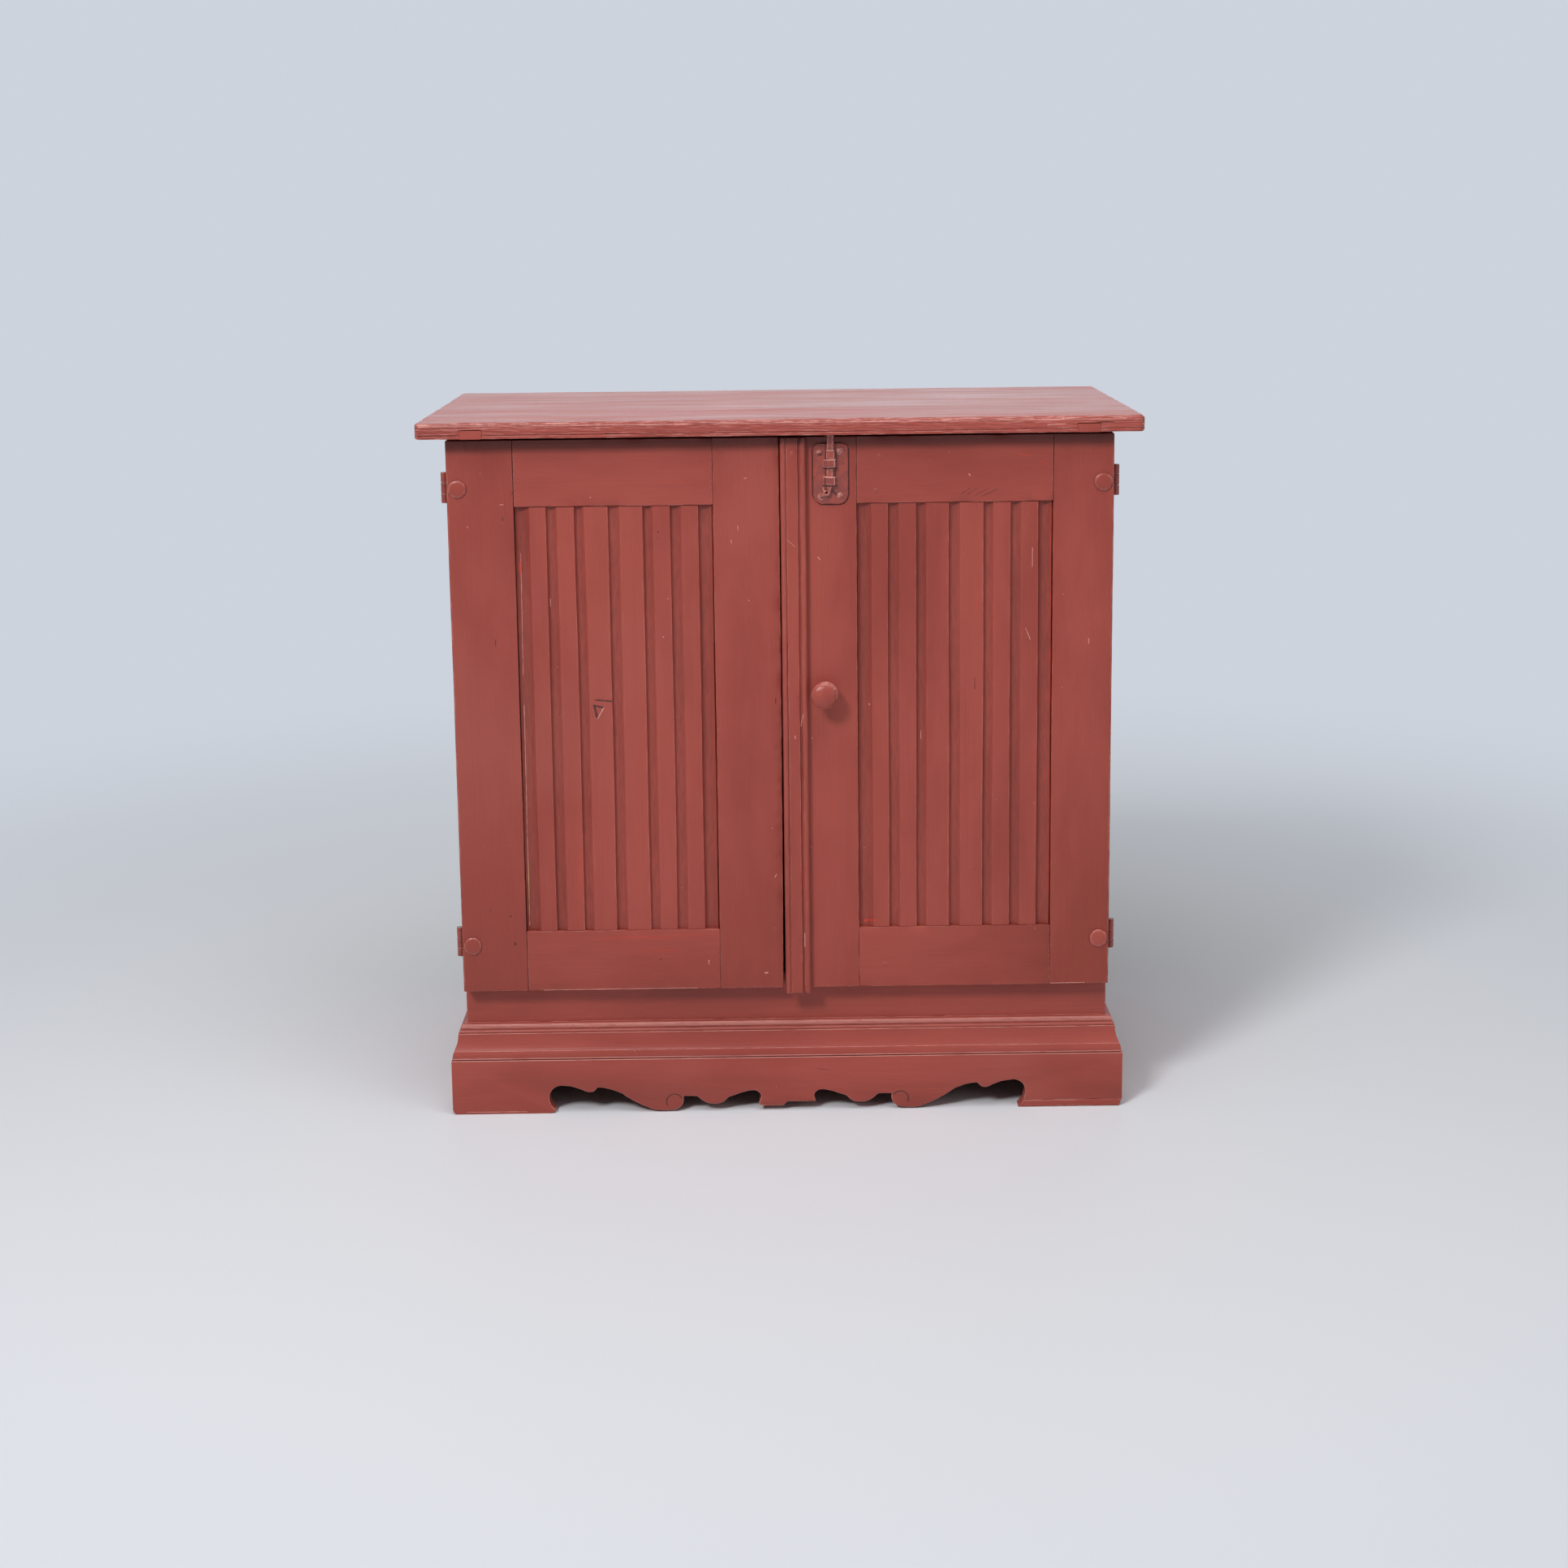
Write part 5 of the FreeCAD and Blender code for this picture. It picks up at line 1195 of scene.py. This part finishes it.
    def corners(self, rings, low, high):
        """Front corners rounded by 8 mm and back corners clipped by 7 mm."""
        bent, clipped = 8 * MM, 7 * MM
        end = np.minimum(rings[..., 0] - low[0], high[0] - rings[..., 0])
        bend = np.clip(bent - end, 0, bent)
        in_front, behind = rings[..., 1] < -0.2, rings[..., 1] > 0.2
        rings[..., 1] += (bent - np.sqrt(bent ** 2 - bend ** 2)) * in_front
        rings[..., 1] -= np.clip(clipped - end, 0, None) * behind


class CUPBOARD_OT_plinth(bpy.types.Operator):
    """Makes the scroll-cut apron, the plinth's sides, the shoe and the base moulding"""

    bl_idname = "cupboard.plinth"
    bl_label = "Plinth"

    # Half the width that the scrolls are drawn over and their height, in metres, and the edges
    # of the right and left feet as shares of that width
    SCROLL_HALF, SCROLL_HIGH = 0.320, 0.039
    RIGHT_FOOT, LEFT_FOOT = 0.992, 0.990

    def execute(self, context):
        self.apron()
        for side in ("left", "right"):
            boards("plinth_side_" + side, 1, 1.6, 11, depth_paint())
        self.shoe()
        self.mouldings()
        return {"FINISHED"}

    def apron(self):
        """The scrolled outline carried from back to front, drawn in at both faces so that its
        edges are round. The right half of the centre drop is broken off shorter."""
        low, high = box("plinth_front")
        reach, rise = self.SCROLL_HALF, self.SCROLL_HIGH
        start = (0, SCROLL[0][0][1])
        right = drawn(start, SCROLL[:-1], reach, rise, 7)
        left = drawn(start, SCROLL, reach, rise, 7)[1:] * (-1, 1)
        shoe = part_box("foot_shoe")[1][2]
        half, centre, lip = high[0], start[1] * rise, 5.5 * MM
        outline = np.concatenate([
            right,
            [(self.RIGHT_FOOT * reach, shoe), (half, shoe), (half, high[2]), (-half, high[2]),
             (-half, 0), (-self.LEFT_FOOT * reach, 0)],
            left[::-1],
            [(-37.5 * MM, centre - lip), (-lip, centre - lip), (0, centre)],
        ])
        twice = np.linalg.norm(outline - np.roll(outline, 1, 0), axis=1) <= 0.05 * MM
        outline = outline[~twice]
        radius = np.full(len(outline), 1.4)
        radius[np.abs(outline - (-half, 0)).sum(1) < 1e-6] = 8
        part = sheet(outline, radius, 1, low[1], high[1], shape().seed + 31, chip=0.3, end=0.7,
                     worn=(0.3, 1))
        piece("plinth_front", [part], apron_paint(), "case")

    def shoe(self):
        """A board under the right foot, with slanted ends, carried from front to back."""
        low, high = box("foot_shoe")
        corners = [(low[0], 0), (high[0] - 4 * MM, 0), (high[0], high[2]),
                   (self.RIGHT_FOOT * self.SCROLL_HALF, high[2])]
        part = board(corners, 1.2, 1, low[1], high[1], shape().seed + 33, 0.3, pitch=7)
        piece("foot_shoe", [part], level_paint(), "case")

    def mouldings(self):
        """The front length, mitred at both ends, and the sides', mitred at the front."""
        out, high = 21 * MM, 48 * MM
        front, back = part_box("front_rail")[0][1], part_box("side_right")[1][1]
        half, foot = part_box("side_right")[1][0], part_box("plinth_front")[1][2]
        outline, sharp = filled(*eased(drawn((0, 0), MOULDING, out, high, 6), 0.7 * MM, 2), 9 * MM)
        # Painted shade along the foot, and wear with a painted highlight on the bead near the top
        sharp = np.where((outline[:, 1] < 0.9 * MM) & (outline[:, 0] > 0.8 * out), -1, sharp)
        level = outline[:, 1] / high
        sharp = np.where((level > 0.86) & (level < 0.97), 0.6, sharp)
        seed = shape().seed
        reach = outline[:, 0]
        part = run(outline * (-1, 1), sharp, 0, np.linspace(-half, half, 240), np.zeros(240),
                   np.zeros(240), seed + 41, chip=0.7, origin=(0, front, foot), grain=40 * MM,
                   slope=(reach, reach))
        piece("moulding_front", [part], moulding_paint(), "case")
        for hand, side in ((-1, "left"), (1, "right")):
            part = run(outline * (hand, 1), sharp, 1, np.linspace(front, back, 120), np.zeros(120),
                       np.zeros(120), seed + 43 + hand, chip=0.7, origin=(hand * half, 0, foot),
                       slope=(reach, 0 * reach))
            piece("moulding_" + side, [part], depth_paint(), "case")


class CUPBOARD_OT_doors(bpy.types.Operator):
    """Makes the frames and fluted panels of both doors"""

    bl_idname = "cupboard.doors"
    bl_label = "Doors"

    NAIL = [(1.2, -6), (1.2, 0), (3.2, 0), (3.6, 0.25), (3.1, 0.55), (1.6, 0.75), (0.1, 0.8)]
    NAIL_WORN = [0, 0, -1, 0.8, 0.4, 0, 0]
    # Across, up, and how far in front of the doors' face; the fourth is in the cover strip
    NAILS = ((126.5, 880.5, 0), (121.9, 836.9, 0), (131.3, 203.6, 0), (15.6, 886.1, 8.2),
             (60.0, 905.5, 0))

    def execute(self, context):
        for number, side in enumerate(("left", "right")):
            self.door(side, shape().seed + 60 + 20 * number)
        self.nails()
        return {"FINISHED"}

    def nails(self):
        """Five heads in the right door, painted over; the first is driven deeper."""
        parts = []
        for number, (x, z, out) in enumerate(self.NAILS):
            place = (x * MM, (DOOR_FACE - out) * MM, z * MM)
            parts.append(head(self.NAIL, self.NAIL_WORN, place, (1, 0.9 if number else 0.5, 1),
                              steps=18, wobble=0.06, seed=number))
        piece("right_door_nails", parts, frame_paint(True), "right_door", new=True)

    def door(self, side, seed):
        """Two stiles, two rails between them and the panel. A stile's free edge is rounder
        than the one that meets the rails."""
        body = side + "_door"
        hand = -1 if side == "left" else 1
        outer, inner = box(body + "_outer_stile"), box(body + "_inner_stile")
        wave = shape().wave
        for name, (low, high), free in ((body + "_outer_stile", outer, hand),
                                        (body + "_inner_stile", inner, -hand)):
            worn_back = name == "left_door_inner_stile"
            soft, fine = 1.6 if worn_back else 1.8, 0.5
            radius = [soft, fine, fine, soft] if free < 0 else [fine, soft, soft, fine]
            rings, faces, worn = plank(low, high, 2, radius, seed, wave, 0.7, end=0.5)
            if worn_back:
                # Its free edge is worn back more and more towards the foot
                down = (high[2] - rings[..., 2]) / (high[2] - low[2])
                edge = np.clip((rings[..., 0] - high[0]) / (6 * MM) + 1, 0, 1)
                rings[..., 0] -= 2.2 * MM * down ** 3 * edge
            piece(name, [(rings, faces, worn)], frame_paint(False), body)
            seed += 1
        first, second = (outer, inner) if hand < 0 else (inner, outer)
        left, right = first[1][0], second[0][0]
        for name in (body + "_top_rail", body + "_bottom_rail"):
            low, high = box(name)
            low[0], high[0] = left, right
            part = plank(low, high, 0, 0.5, seed, wave, 0.7, end=0.5)
            piece(name, [part], frame_paint(True), body)
            seed += 1
        self.panel(body, left, right, seed)

    def fluting(self):
        """The panel's face across: each point's share of the width, its share of the hollows'
        depth, and its wear, which below 0 is dirt and painted shade. Across a hollow the face sinks
        fast from the left edge and rises slowly to the right one: a power of the distance from
        each, multiplied."""
        shares, depths, edges = [], [], []
        for number, (first, last) in enumerate(HOLLOWS):
            if number:
                before = HOLLOWS[number - 1][1]
                across = np.array([0.012, 0.1, 0.4, 0.6, 0.9, 0.988])
                shares.append(before + (first - before) * across)
                depths.append(np.zeros(6))
                edges.append([0.25, 0, 0, 0, 0, 0.6])
            t = np.linspace(0, 1, 17)
            # The outermost hollows are deeper, and deepest nearer their middle
            fall, rise, deepest = (0.42, 0.75, 0.85) if number in (0, 6) else (0.36, 0.85, 0.72)
            sunk = t ** fall * (1 - t) ** rise
            top = fall / (fall + rise)
            shares.append(first + (last - first) * t)
            depths.append(deepest * sunk / (top ** fall * (1 - top) ** rise))
            # Worn arrises at the hollow's edges, and dirt with painted shade down the hollow
            edges.append([0.5] + [-0.6] * 12 + [-0.5, -0.35, -0.2, 0.25])
        share, depth, edge = (np.concatenate(values) for values in (shares, depths, edges))
        depth[0] = depth[-1] = 0.35
        return share, depth, edge

    def panel(self, body, left, right, seed):
        """A board whose face is seven hollows between flat ribs. The edges wander slowly along
        the grain. The tongue is the same outline with the face drawn back."""
        low, high = box(body + "_panel")
        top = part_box(body + "_top_rail")[0][2]
        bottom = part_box(body + "_bottom_rail")[1][2]
        gap, groove, deepest = 0.8 * MM, 9 * MM, 8 * MM
        face, tongue, rear = low[1], high[1] - 7 * MM, high[1]
        z = np.concatenate([[low[2], bottom + 0.2 * MM, bottom + 0.2 * MM],
                            np.linspace(bottom + 1 * MM, top - 1 * MM, 130),
                            [top - 0.6 * MM, top - 0.6 * MM, high[2]]])
        full = np.concatenate([[0, 0, 1], np.ones(130), [1, 0, 0]])[:, None]
        share, depth, edge = self.fluting()
        spots = np.stack(np.broadcast_arrays(share[None] * 0.26, 0 * z[:, None], z[:, None]), -1)
        wander = 0.28 * MM * ripple(spots, (60 * MM, 1, 420 * MM), seed)
        wander *= np.clip(np.minimum(share, 1 - share) * 20, 0, 1)
        deep = deepest * (0.92 + 0.08 * ripple(spots, (90 * MM, 1, 300 * MM), seed + 1))
        start = left + gap
        x = start + (right - gap - start) * share[None] + wander
        y = face + 0.25 * MM + depth[None] * np.minimum(deep, deepest) * 0.97
        y = y + 0.25 * MM * ripple(spots, (40 * MM, 1, 160 * MM), seed + 2)
        y = tongue + (np.maximum(y, face + 0.02 * MM) - tongue) * full
        front = np.stack([x, y, np.broadcast_to(z[:, None], x.shape)], -1)
        rest = [(x[:, -1], tongue), (right + groove, tongue), (right + groove, rear),
                (left - groove, rear), (left - groove, tongue), (x[:, 0], tongue)]
        rest = [np.stack(np.broadcast_arrays(across, back, z), -1) for across, back in rest]
        rings = np.concatenate([front, np.stack(rest, 1)], 1)
        worn = np.concatenate([edge, np.zeros(6)])[None] * full
        piece(body + "_panel", [(rings, carried(rings), worn)], panel_paint(body), body, crease=50)


class CUPBOARD_OT_strip(bpy.types.Operator):
    """Makes the moulded cover strip"""

    bl_idname = "cupboard.strip"
    bl_label = "Cover strip"

    def execute(self, context):
        # The section is carried up, with its flat back against the door
        low, high = box("cover_strip")
        section = drawn((0, 0), STRIP, high[0] - low[0], high[1] - low[1], 7)
        outline, sharp = filled(*eased(section, 0.6 * MM, 2), 5 * MM)
        outline = outline * (1, -1) + (low[0] - 0.7 * MM, high[1])
        places, inset, worn = stations(low[2], high[2], 4 * MM, 0.3 * MM)
        part = run(outline, sharp, 2, places, inset, worn, shape().seed + 101, 0.3, 0.9)
        piece("cover_strip", [part], strip_paint(), "right_door")
        return {"FINISHED"}


class CUPBOARD_OT_knob(bpy.types.Operator):
    """Makes the turned knob, leaning a little to the left"""

    bl_idname = "cupboard.knob"
    bl_label = "Knob"

    # Radius and reach in millimetres, and the outline as shares of both
    RADIUS, REACH = 16.7, 33.6
    OUTLINE = [(0.32, -0.5), (0.32, 0.0), (0.60, 0.0), (0.52, 0.14), (0.50, 0.30), (0.66, 0.37),
               (0.93, 0.40), (0.99, 0.45), (0.99, 0.50), (0.90, 0.54), (0.86, 0.555), (0.90, 0.57),
               (0.98, 0.60), (0.98, 0.65), (0.90, 0.69), (0.86, 0.70), (0.90, 0.715), (0.99, 0.73),
               (1.01, 0.77), (0.99, 0.80), (0.90, 0.875), (0.72, 0.93), (0.5, 0.965), (0.25, 0.99),
               (0.04, 0.998)]

    def execute(self, context):
        low, high = box("knob")
        middle = (low + high) / 2
        profile = softened(np.array(self.OUTLINE) * (self.RADIUS, self.REACH), 0.5, 2)
        worn = np.clip((profile[:, 0] / self.RADIUS - 0.92) / 0.05, 0, 1)
        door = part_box("right_door_inner_stile")[0][1]
        foot = (middle[0] + 5.0 * MM, door, middle[2] + 2.5 * MM)
        part = turned(profile, worn, foot, steps=64, lean=(-0.17, -0.09), wobble=0.006)
        piece("knob", [part], knob_paint(), "right_door")
        return {"FINISHED"}


class CUPBOARD_OT_hinges(bpy.types.Operator):
    """Makes the hinges' knuckles and leaves and the rivets on the doors' faces"""

    bl_idname = "cupboard.hinges"
    bl_label = "Hinges"

    # Sizes in millimetres: the knuckles' radius, half a hinge's height, half the middle
    # knuckle's and the low end of the upper one's, and the leaves' thickness
    KNUCKLE, HALF, MIDDLE, UPPER, LEAF = 4.3, 20, 7, 7.3, 1.6
    RIVET = [(2.2, -22), (2.2, 0), (11.7, 0), (12.0, 0.5), (11.8, 1.2), (11.0, 1.9), (8.6, 2.5),
             (5.5, 3.0), (2.5, 3.15), (0.1, 3.2)]
    RIVET_WORN = [0, 0, -1, -1, 0.35, 0.35, 0, 0, 0, 0]

    def execute(self, context):
        for hand, side in ((-1, "left"), (1, "right")):
            self.hinge_pair(hand, side)
        return {"FINISHED"}

    def knuckle(self, place, low, high, seed):
        """A rolled knuckle: a short cylinder with soft ends, a little out of round."""
        long = high - low
        profile = [(3.0, 0), (3.9, 0.15), (4.25, 0.7), (self.KNUCKLE, 1.5), (4.15, 0.5 * long),
                   (self.KNUCKLE, long - 1.5), (4.25, long - 0.7), (3.9, long - 0.15), (3.0, long)]
        # Painted shade at both ends, in the gaps between knuckles, and wear just inside them
        return turned(profile, [-1, -1, 1, 0, 0, 0, 1, -1, -1], place + (low * MM,), False,
                      steps=28, wobble=0.006, seed=seed)

    def hinge_pair(self, hand, side):
        """Two hinges: a knuckle of the case above and below one of the door on each pin, a leaf
        behind each, and a rivet through the door."""
        low, high = (corner / MM for corner in box("hinge_case_leaves_right"))
        reach, front = round(high[0] - self.KNUCKLE, 1), round(low[1] + self.KNUCKLE, 1)
        case_leaf, door_leaf = round(low[0]), round(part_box("hinge_door_leaves_right")[0][0] / MM)
        case_front = round(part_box("side_right")[0][1] / MM, 1)
        case_side = round(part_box("side_right")[1][0] / MM)
        door_back = round(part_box("right_door_outer_stile")[1][1] / MM, 1)
        pin = (hand * reach * MM, front * MM)
        case, door, rivets = [], [], []
        for number, middle in enumerate((round(high[2]) - self.HALF, round(low[2]) + self.HALF)):
            bottom, top = middle - self.HALF, middle + self.HALF
            seed = 200 + number * 9 + hand
            outer = ((bottom, middle - self.UPPER), (middle + self.UPPER, top))
            inner = ((middle - self.MIDDLE, middle + self.MIDDLE),)
            case += [self.knuckle(pin, *outer[0], seed), self.knuckle(pin, *outer[1], seed + 1)]
            door.append(self.knuckle(pin, *inner[0], seed + 2))
            # Case leaf let into the case, door leaf on the door's back, with tabs to the knuckles
            for parts, start, back, tabs in ((case, case_leaf, case_front, outer),
                                             (door, door_leaf, door_back - self.LEAF, inner)):
                spans = [(start, case_side - 0.4, bottom, top)]
                spans += [(case_side - 1, reach - 0.7, *tab) for tab in tabs]
                for near, far, z0, z1 in spans:
                    x = sorted((hand * near, hand * far))
                    parts.append(plank(np.array((x[0], back, z0)) * MM,
                                       np.array((x[1], back + self.LEAF, z1)) * MM, 2, 0.4,
                                       seed + 3, 0.1, 0.2, end=0.3, pitch=4))
            place = (hand * case_leaf * MM, DOOR_FACE * MM, middle * MM)
            stretch = (1 - 0.02 * number, 1, 0.98 + 0.02 * number)
            rivets.append(head(self.RIVET, self.RIVET_WORN, place, stretch, steps=44, wobble=0.006,
                               seed=seed + 5))
        body = side + "_door"
        piece("hinge_case_leaves_" + side, case, iron_paint(), "case")
        piece("hinge_door_leaves_" + side, door, iron_paint(), body)
        piece("hinge_rivets_" + side, rivets, knob_paint(), body)


class CUPBOARD_OT_bolt(bpy.types.Operator):
    """Makes the bolt, its plate, its straps and their nails"""

    bl_idname = "cupboard.bolt"
    bl_label = "Bolt"

    # Across, up, number of facets, height and stretch of each nail head; 9 facets mean round
    NAILS = ((49.8, 887.2, 4, 2.6, 0.9), (76.0, 888.0, 4, 2.4, 1.1), (51.6, 830.0, 9, 0.5, 1.0),
             (76.0, 831.3, 6, 2.6, 1.0))
    # A strap's section, across and out from the plate, and the rounding of each corner
    HAT = [(-8.7, 0), (-8.7, 1.4), (-7.3, 1.5), (-7.1, 7.2), (7.1, 7.2), (7.3, 1.5), (8.7, 1.4),
           (8.7, 0), (4.9, 0), (4.9, 5.8), (-4.9, 5.8), (-4.9, 0)]
    HAT_ROUND = [0.4, 0.6, 0.5, 1.6, 1.6, 0.5, 0.6, 0.4, 0.3, 0.3, 0.3, 0.3]
    # The bolt in millimetres across and up: its tip, the low end of its straight part, its neck
    # and the middle of its curl, and the depths of its front and back
    TIP, LOW_END = (64.0, 909.8), (63.0, 850)
    NECK = [(62.9, 846.5), (62.6, 843.0), (62.3, 840.0), (62.1, 837.6)]
    CURL = (58.4, 835.6)
    FRONT, BACK = -223.4, -218.75
    # The shoulder's low and high corners
    SHOULDER = [(58.4, -226.0, 879.3), (69.2, -218.7, 890.8)]

    def execute(self, context):
        low, high = box("bolt_plate")
        rings, faces, edge = sheet(rectangle(low, high, 0, 2), [15, 15, 9, 10], 1, low[1], high[1],
                                   150, 0.0, 0.2, 0.6, 8)
        # Painted shade where it meets the door, and worn a little less in front
        edge = np.where(np.arange(len(edge))[:, None] > len(edge) / 2, -1.0, edge * 0.7)
        self.add("bolt_plate", [(rings, faces, edge)])
        self.nails(low[1])
        for number, name in enumerate(("bolt_strap_upper", "bolt_strap_lower")):
            self.strap(name, number)
        self.bolt()
        return {"FINISHED"}

    def add(self, name, parts, body="right_door"):
        piece(name, parts, bolt_paint(), body)

    def nails(self, face):
        """Hammered heads, each on a few facets, at the plate's corners."""
        parts = []
        for number, (x, z, facets, out, stretch) in enumerate(self.NAILS):
            profile = [(1.2, -8), (1.2, 0), (4.1, 0), (4.3, min(0.5, out * 0.6)),
                       (2.9, out * 0.72), (1.4, out), (0.1, out)]
            rings, faces, worn = turned(profile, [0, 0, 0, 1, 0.6, 0.8, 0], steps=facets * 4,
                                        wobble=0.05, seed=number)
            if facets < 9:
                # Drawn out towards the corners of a square or hexagon
                angle = np.arctan2(rings[..., 2], rings[..., 0]) + 0.6 * number
                wave = 1 + 0.09 * np.cos(facets * angle)
                rings[..., 0] *= wave
                rings[..., 2] *= wave * stretch
            parts.append((rings + (x * MM, face, z * MM), faces, worn))
        self.add("bolt_plate_nails", parts)

    def strap(self, name, number):
        """A strip bent over the bolt: its section is a hat carried up the bolt."""
        low, high = box(name)
        middle = (low[0] + high[0]) / 2 / MM
        hat = (np.array(self.HAT) * (1, -1) + (middle, high[1] / MM)) * MM
        outline, sharp = filled(*eased(hat, np.array(self.HAT_ROUND) * MM), 3 * MM)
        places, inset, worn = stations(low[2], high[2], 2 * MM, 0.5 * MM)
        rings, faces, edge = run(outline, sharp, 2, places, inset, worn, 160 + number, 0.2, 0.5,
                                 rim=False)
        # A painted highlight along the top, painted shade underneath, and a little out of level
        edge[:3], edge[-3:-1] = -1, 1
        rings[..., 2] += (rings[..., 0] - middle * MM) * (0.03, -0.05)[number]
        self.add(name, [(rings, faces, edge)])

    def bolt(self):
        """A tapered bar, a shoulder, and a tail rolled round a shrinking curl."""
        straight = np.linspace(self.TIP, self.LOW_END, 14)
        turn = np.radians(np.linspace(0, 290, 26))
        radius = np.linspace(3.6, 2.0, 26)
        curl = np.stack([radius * np.cos(turn), -radius * np.sin(turn)], -1) + self.CURL
        half = np.concatenate([np.linspace(4.5, 4.3, 14), [3.9, 3.0, 2.3, 1.9],
                               np.linspace(1.7, 1.0, 26)])
        tail = bar(np.concatenate([straight, self.NECK, curl]), half, self.FRONT, self.BACK)
        shoulder = plank(*np.array(self.SHOULDER) * MM, 2, 0.8, 171, 0.2, 0.5, end=0.6, pitch=3)
        self.add("bolt", [tail, shoulder], "bolt")


STEPS = ("stage", "finishes", "case", "top", "plinth", "doors", "strip", "knob", "hinges", "bolt")


class CUPBOARD_PT_panel(bpy.types.Panel):
    """Lists the pieces and their settings"""

    bl_label = "Cupboard"
    bl_idname = "CUPBOARD_PT_panel"
    bl_space_type = "VIEW_3D"
    bl_region_type = "UI"
    bl_category = "Cupboard"

    def draw(self, context):
        column = self.layout.column(align=True)
        for step in STEPS:
            column.operator("cupboard." + step)
        for group in (context.scene.cupboard_shape, context.scene.cupboard_paint):
            rows = self.layout.box()
            for key in group.__annotations__:
                rows.prop(group, key)


CLASSES = (
    CUPBOARD_PG_paint,
    CUPBOARD_PG_shape,
    CUPBOARD_OT_stage,
    CUPBOARD_OT_finishes,
    CUPBOARD_OT_case,
    CUPBOARD_OT_top,
    CUPBOARD_OT_plinth,
    CUPBOARD_OT_doors,
    CUPBOARD_OT_strip,
    CUPBOARD_OT_knob,
    CUPBOARD_OT_hinges,
    CUPBOARD_OT_bolt,
    CUPBOARD_PT_panel,
)


def register():
    for item in CLASSES:
        bpy.utils.register_class(item)
    bpy.types.Scene.cupboard_paint = PointerProperty(type=CUPBOARD_PG_paint)
    bpy.types.Scene.cupboard_shape = PointerProperty(type=CUPBOARD_PG_shape)


def unregister():
    del bpy.types.Scene.cupboard_shape
    del bpy.types.Scene.cupboard_paint
    for item in reversed(CLASSES):
        bpy.utils.unregister_class(item)


def main():
    register()
    bpy.context.scene.view_settings.view_transform = "Standard"
    for step in STEPS:
        if getattr(bpy.ops.cupboard, step)() != {"FINISHED"}:
            raise RuntimeError("The step %s did not finish" % step)


if __name__ == "__main__":
    main()
